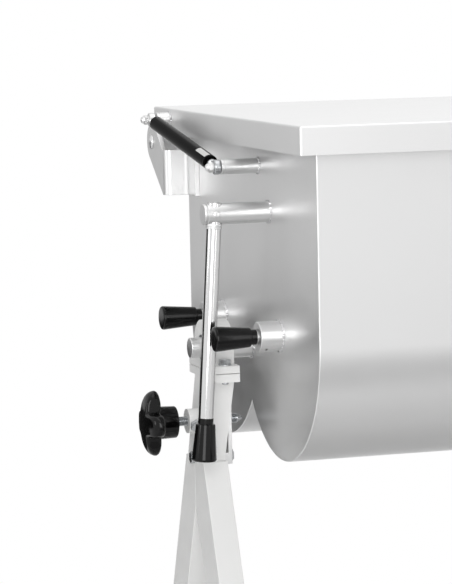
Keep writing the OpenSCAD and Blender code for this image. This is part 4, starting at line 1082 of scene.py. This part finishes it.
def star_knob():
    bm = bmesh.new()
    ring = bmesh.ops.create_circle(bm, segments=144, radius=1.0, cap_ends=False)["verts"]
    for k, (share, height) in enumerate(back_rings + dome_rings):
        if k:
            edges = list({e for v in ring for e in v.link_edges if e.other_vert(v) in ring})
            ring = verts_of(bmesh.ops.extrude_edge_only(bm, edges=edges)["geom"])
        for vert in ring:
            turn = math.atan2(vert.co.y, vert.co.x)
            radius = star_radius(turn) * share
            rise = dome_height(radius) if k >= len(back_rings) else 0
            vert.co = Vector((radius * math.cos(turn), radius * math.sin(turn), height + rise)) * MM
    bmesh.ops.holes_fill(bm, edges=bm.edges[:], sides=0)
    bmesh.ops.recalc_face_normals(bm, faces=bm.faces[:])
    back_at = at(knob_low.x + LOBE_LEN + 2, 0, lock_z)
    bmesh.ops.transform(bm, matrix=toward(back_at, -X), verts=bm.verts[:])
    return bm


hub_r, hub_len = 1.5 * LOBE_R, 22.5
hub = [(0, THREAD_R), (0, hub_r - 2.2), (0.4, hub_r - 0.9), (1.5, hub_r),
       (hub_len, hub_r + 0.6), (hub_len, 0)]
add_piece("star_handle", joined(spun(hub, at(knob_high.x, 0, lock_z), -X), star_knob()),
          "lock_knob", "black_bakelite", phenolic_black, "lock_knob")

# %% [markdown]
# ## Post, pivot block and legs
# The stand's upper end is made of castings and welded tube under a pale powder coat. Their
# shapes are right in the frame, so each piece is a copy of its CAD node, with its edges rounded:
# castings by some two millimetres, tube by its own bending radius. The pivot block stands on
# the post's head, so it gets a seat.

# %% Painted stand
add_copies("stand", "pale_paint", powder_white,
           ("leaning_post", "post", 1.6, 3), ("front_leg_tube", "front_leg", 3, 3),
           ("rear_leg_tube", "rear_leg", 3, 3), ("floor_tube", "floor_bar", 3, 3),
           ("stretcher_tubes", "stretchers", 3, 3), ("bearing_flange", "pivot_bearing", 1.5, 2))
add_piece("pivot_block", dressed("pillow_block", 1.8, 3, seat=0.9), "stand", "pale_paint",
          powder_white, "pillow_block")
add_copies("stand", "stainless_sheet", satin_stainless, ("strap_plate", "inner_strap", 1.0, 2))
add_copies("stand", "black_rubber", black_rubber, ("level_feet", "levelling_feet", 0.8, 2))

# %% [markdown]
# ## Hexagon bolts
# A bolt's head is a hexagon whose corners are turned off, over a round washer. All of them are
# M8, the same size, so one function places a head, its washer and the end of its thread.

# %% Tool for bolts
HEAD_ACROSS, HEAD_H, WASHER_R, WASHER_T, BOLT_R = 13, 5.5, 8, 1.6, 4


def bolt(place, direction, washer=True, tail=0):
    """A bolt's head that looks along a direction; washer and tail add a washer and a shank."""
    lift = WASHER_T if washer else 0
    top = lift + HEAD_H
    face = [(lift, 0), (lift, 5.6), (top + 0.15, 5.5), (top + 0.25, 5), (top + 0.25, 0)]
    parts = [nut(place + direction * lift * MM, direction, HEAD_ACROSS, HEAD_H),
             spun(face, place, direction, steps=36)]
    if washer:
        disc = [(0, 0), (0, WASHER_R - 0.2), (0.2, WASHER_R), (WASHER_T - 0.3, WASHER_R),
                (WASHER_T, WASHER_R - 0.3), (WASHER_T, 0)]
        parts.append(spun(disc, place, direction, steps=48))
    if tail:
        shank = [(-tail, 0), (-tail, BOLT_R - 0.6), (-tail + 0.7, BOLT_R), (0, BOLT_R), (0, 0)]
        parts.append(spun(shank, place, direction, steps=32))
    return joined(*parts)


print("heads are", HEAD_ACROSS, "mm across")

# %% Bolts of the stand
FOOT_T, HEAD_PLATE_T, THREAD_OUT, BOLT_IN, STRAP_IN = 10, 10, 3.5, 11, 8
CLAMP_R, CLAMP_IN, CLAMP_TILT, FLANGE_IN = 14, 7.5, math.radians(14), 10
block_low, block_high = drawn(low("pillow_block")), drawn(high("pillow_block"))
bolt_x = (block_low.x + block_high.x) / 2
stand_bolts = [bolt(at(bolt_x, y, block_low.z + FOOT_T), Z, tail=FOOT_T + HEAD_PLATE_T + THREAD_OUT)
               for y in (block_low.y + BOLT_IN, block_high.y - BOLT_IN)]

strap_z = drawn(low("inner_strap")).z + STRAP_IN
stand_bolts.append(bolt(at(block_high.x, 0, strap_z), X, washer=False))
stand_bolts.append(bolt(at(drawn(low("front_leg")).x, 0, strap_z), -X, washer=False))

clamp_dir = Vector((0, -math.cos(CLAMP_TILT), -math.sin(CLAMP_TILT)))
clamp_at = at(drawn(low("post")).x + CLAMP_IN, 0, lock_z) + clamp_dir * CLAMP_R * MM
stand_bolts.append(bolt(clamp_at, clamp_dir, washer=False))

flange_low, flange_high = drawn(low("pivot_bearing")), drawn(high("pivot_bearing"))
circle_r = (flange_high.y - flange_low.y) / 2 - FLANGE_IN
for turn in (math.radians(a) for a in (45, 135, 225, 315)):
    place = at(flange_low.x, circle_r * math.cos(turn), circle_r * math.sin(turn) + pivot.z)
    stand_bolts.append(bolt(place, -X, washer=False))
add_piece("hexagon_bolts", joined(*stand_bolts), "stand", "turned_steel", zinc_plated, "m8_bolts")

# %% [markdown]
# ## Gear case and drive
# The right end of the tank carries a round-ended case with two large gears and a pinion. It is a
# band of stainless with a cover that is screwed on. Behind it a trunnion turns in a bearing on
# the cabinet, and a worm gearbox with a motor below drives the pinion.

# %% Gear case, gearbox and motor
add_copies("tank", "stainless_sheet", satin_stainless,
           ("gear_band", "gear_case", 0.8, 2), ("gear_lid", "gear_cover", 1.2, 2))
add_copies("tank", "turned_steel", turned_stainless,
           ("drive_trunnion", "right_trunnion", 0.8, 2))
for side in ("front", "rear"):
    add_copies(side + "_mixer", "gear_steel", gear_steel,
               (side + "_wheel", side + "_gear", 0.4, 1))
add_copies("stand", "grey_cast", grey_enamel,
           ("worm_gearbox", "gearbox", 4, 3), ("motor_housing", "drive_motor", 0.7, 1))

# %% [markdown]
# ## Small screws
# The case's cover and the cabinet's panel are held by pan head screws with a hexagon socket.
# The head is turned, and a hexagon as wide as the key is taken away from it.

# %% Small screws of the gear case
CASE_SCREW_R, CASE_SCREW_H, CIRCLE_OUT = 5.5, 3, 3


def small_screw(place, direction, radius, height):
    """A pan head screw with a hexagon socket."""
    head = [(0, 0), (0, radius), (height * 0.35, radius * 0.97), (height * 0.7, radius * 0.86),
            (height, radius * 0.62), (height, 0)]
    key = nut(place + direction * height * 0.45 * MM, direction, radius * 0.75, height)
    return bored(spun(head, place, direction, steps=32), key)


circle_r = (drawn(high("gear_case")).z - drawn(low("gear_case")).z) / 2 + CIRCLE_OUT
cover_x = drawn(high("gear_cover")).x
screw_places = []
for side in (-1, 1):
    for turn in (math.radians(a) for a in range(-90, 91, 45)):
        y = side * (-front_y + circle_r * math.cos(turn))
        screw_places.append((y, circle_r * math.sin(turn)))
    screw_places.append((0, side * circle_r))
screws = [small_screw(at(cover_x, y, z), X, CASE_SCREW_R, CASE_SCREW_H) for y, z in screw_places]
add_piece("case_screws", joined(*screws), "tank", "turned_steel", zinc_plated, "cover_screws")

# %% [markdown]
# ## Shafts and paddles
# Inside, round shafts carry welded paddles, whose blades stand at a slant to push the meat along
# while they turn it over. They are food-grade steel, ground and polished so that nothing sticks.

# %% Shafts and paddles
for side in ("front", "rear"):
    add_copies(side + "_mixer", "mixing_steel", turned_stainless,
               (side + "_paddle_set", side + "_paddles", 0.8, 2),
               (side + "_round_shaft", side + "_shaft", 0.5, 1))

# %% [markdown]
# ## Cabinet, controls and cable gland
# The cabinet is bent from painted sheet, so its edges are rounded by about the sheet's bending
# radius. At the front three push buttons stand in turned rings on a small stainless plate, and at
# the back a panel closes the service opening.

# %% Cabinet and its panels
add_copies("stand", "pale_paint", powder_white, ("cabinet_shell", "cabinet", 2.5, 3))
add_copies("stand", "stainless_sheet", satin_stainless,
           ("rear_panel", "service_panel", 0.7, 2), ("button_plate", "control_plate", 0.9, 2))
add_copies("stand", "black_rubber", black_rubber, ("gland_body", "cable_gland", 0.8, 2))

# %% Buttons
# Distances from the button's face and radii: a hollowed cap, its skirt, and the stem's foot
CAP_R, STEM_R, STEM_FOOT_R = 11, 5.5, 8
button = [(1.2, 0), (0.9, 4), (0.35, 7.2), (0, 8.6), (0.25, 9.9), (0.9, 10.7), (1.9, CAP_R),
          (9, CAP_R), (9, STEM_R), (25, STEM_R), (25, STEM_FOOT_R), (31, STEM_FOOT_R), (31, 0)]
for name, slot, material in (("forward", "green_button", green_plastic),
                             ("reverse", "black_button", black_plastic),
                             ("stop", "red_button", red_plastic)):
    centre = drawn(middle(name + "_button"))
    face = at(centre.x, drawn(low(name + "_button")).y, centre.z)
    add_piece(name + "_cap", spun(button, face, Y), name + "_button", slot, material,
              name + "_button")

# %% Screws of the panel
PANEL_SCREW_R, PANEL_SCREW_H = 4.5, 2.5
panel_y = drawn(high("service_panel")).y
screw_low, screw_high = drawn(low("panel_screws")), drawn(high("panel_screws"))
panel_screws = []
for x in (screw_low.x + PANEL_SCREW_R, screw_high.x - PANEL_SCREW_R):
    for share in (0, 0.5, 1):
        z = screw_low.z + PANEL_SCREW_R
        z += share * (screw_high.z - screw_low.z - 2 * PANEL_SCREW_R)
        panel_screws.append(small_screw(at(x, panel_y, z), Y, PANEL_SCREW_R, PANEL_SCREW_H))
add_piece("panel_screw_set", joined(*panel_screws), "stand", "turned_steel", zinc_plated,
          "panel_screws")

# %% [markdown]
# ## Pieces that stay as they are
# Bushes, springs and the drive shaft lie inside the machine, and their CAD shapes are right.
# They only get their materials, on the object's own slots, because a CAD mesh is never changed.

# %% Materials for the CAD pieces that stay
kept = {"pivot_bush": gear_steel, "shaft_bushes": bearing_bronze,
        "plunger_springs": gear_steel, "drive_shaft": gear_steel}
for name, material in kept.items():
    for place in frame["nodes"][name].material_slots:
        place.link = "OBJECT"
        place.material = material
print("kept:", ", ".join(kept))

# %% [markdown]
# ## Studio
# The photograph was taken in a white studio: a large soft light in front, weaker ones at the
# left and above, and white everywhere else. Floor and world show white to the camera, to
# mirrors and to glass, and the floor is plain paper near the machine, so it keeps the shadow.

# %% White for the camera and for mirrors
FLOOR_COLOUR, PAPER_UNTIL, WHITE_FROM = "#E4E4E4", 0.55, 1.3


def white_ray(tree):
    """Is 1 where a ray comes from the camera, a mirror or glass, and 0 elsewhere."""
    rays = add_node(tree, "ShaderNodeLightPath").outputs
    seen = add_node(tree, "ShaderNodeMath", operation="MAXIMUM")
    either = add_node(tree, "ShaderNodeMath", operation="MAXIMUM")
    tree.links.new(rays["Is Camera Ray"], seen.inputs[0])
    tree.links.new(rays["Is Glossy Ray"], seen.inputs[1])
    tree.links.new(seen.outputs[0], either.inputs[0])
    tree.links.new(rays["Is Transmission Ray"], either.inputs[1])
    return either.outputs[0]


def studio_floor():
    material = bpy.data.materials.new("studio_floor")
    material.use_nodes = True
    tree = material.node_tree
    paper = tree.nodes["Principled BSDF"]
    paper.inputs["Base Color"].default_value = linear(FLOOR_COLOUR)
    paper.inputs["Roughness"].default_value = 0.9
    glow = add_node(tree, "ShaderNodeEmission", values={"Color": (1, 1, 1, 1), "Strength": 1.0})
    where = add_node(tree, "ShaderNodeTexCoord").outputs["Object"]
    away = add_node(tree, "ShaderNodeVectorMath", {0: where}, operation="LENGTH")
    fade = add_node(tree, "ShaderNodeMapRange", {"Value": away.outputs["Value"]},
                    {"From Min": PAPER_UNTIL, "From Max": WHITE_FROM, "To Min": 0.0, "To Max": 1.0})
    both = add_node(tree, "ShaderNodeMath", operation="MULTIPLY")
    tree.links.new(fade.outputs["Result"], both.inputs[0])
    tree.links.new(white_ray(tree), both.inputs[1])
    mix = add_node(tree, "ShaderNodeMixShader")
    tree.links.new(both.outputs[0], mix.inputs[0])
    tree.links.new(paper.outputs[0], mix.inputs[1])
    tree.links.new(glow.outputs[0], mix.inputs[2])
    tree.links.new(mix.outputs[0], tree.nodes["Material Output"].inputs["Surface"])
    return material


print("the floor is white from", WHITE_FROM, "m outwards")

# %% [markdown]
# ## Floor, cards and lamps
# Metal is only as good as what it mirrors, so besides the lamps there are five cards, which
# only mirrors see. The near-black ones at the left and low behind give round steel and the
# pins their dark edges, and the grey ones behind, at the right and on the floor tone the end
# plate and the lower rounds of the tank.

# %% Floor and cards


def flat(name, size, place, direction, material):
    """A flat sheet of the studio that looks along a direction."""
    bm = bmesh.new()
    bmesh.ops.create_grid(bm, x_segments=1, y_segments=1, size=0.5)
    bmesh.ops.scale(bm, vec=(size[0], size[1], 1), verts=bm.verts[:])
    bmesh.ops.transform(bm, matrix=toward(Vector(place), Vector(direction)), verts=bm.verts[:])
    mesh = bpy.data.meshes.new(name)
    bm.to_mesh(mesh)
    bm.free()
    mesh.materials.append(material)
    sheet = bpy.data.objects.new(name, mesh)
    bpy.context.scene.collection.objects.link(sheet)
    return sheet


def card(name, size, place, direction, brightness):
    """A matt card that only mirrors see, with a brightness of its own."""
    material = bpy.data.materials.new(name)
    material.use_nodes = True
    tree = material.node_tree
    glow = add_node(tree, "ShaderNodeEmission",
                    values={"Color": (1, 1, 1, 1), "Strength": brightness})
    tree.links.new(glow.outputs[0], tree.nodes["Material Output"].inputs["Surface"])
    sheet = flat(name, size, place, direction, material)
    sheet.visible_camera = sheet.visible_diffuse = sheet.visible_shadow = False


flat("studio_floor", (16, 16), (0, 0, 0), (0, 0, 1), studio_floor())
card("card_left", (2.4, 1.3), (-3.1, 1.85, 0.2), (0.83, -0.56, 0), 0.02)
card("card_behind", (2.4, 3.6), (-1.3, 3.3, 1.2), (0.28, -0.96, 0), 0.6)
card("card_below", (1.6, 0.9), (-0.8, 1.3, 0.1), (0.28, -0.96, 0), 0.03)
card("card_right", (1.6, 2.6), (2.9, -2.6, 1.0), (-0.75, 0.66, 0), 0.35)
card("card_floor", (3.0, 1.9), (0.2, -1.85, 0.02), (0, 0, 1), 0.5)
print("studio: a floor and five cards")

# %% Lamps and world
AIM, WORLD_LIGHT = Vector((-0.2, 0, 0.75)), 0.5


def lamp(name, size, place, power):
    data = bpy.data.lights.new(name, "AREA")
    data.shape, data.size, data.size_y, data.energy = "RECTANGLE", size[0], size[1], power
    light = bpy.data.objects.new(name, data)
    light.matrix_world = toward(Vector(place), Vector(place) - AIM)
    bpy.context.scene.collection.objects.link(light)


lamp("front_softbox", (1.6, 2.4), (-1.6, -3.4, 1.5), 50)
lamp("left_softbox", (0.6, 0.9), (-3.0, -0.55, 1.2), 7)
lamp("top_softbox", (2.2, 2.2), (0.2, -0.4, 3.2), 15)

world = bpy.data.worlds.new("studio")
bpy.context.scene.world = world
world.use_nodes = True
backdrop = world.node_tree.nodes["Background"]
backdrop.inputs["Color"].default_value = (1, 1, 1, 1)
strength = add_node(world.node_tree, "ShaderNodeMapRange", {"Value": white_ray(world.node_tree)},
                    {"From Min": 0.0, "From Max": 1.0, "To Min": WORLD_LIGHT, "To Max": 1.0})
world.node_tree.links.new(strength.outputs["Result"], backdrop.inputs["Strength"])
print("lamps:", len(bpy.data.lights), "and a world of", WORLD_LIGHT)

# %% [markdown]
# ## Finish
# The view transform is set to Standard, so a colour renders as it is written.

# %% Finish
bpy.context.scene.view_settings.view_transform = "Standard"
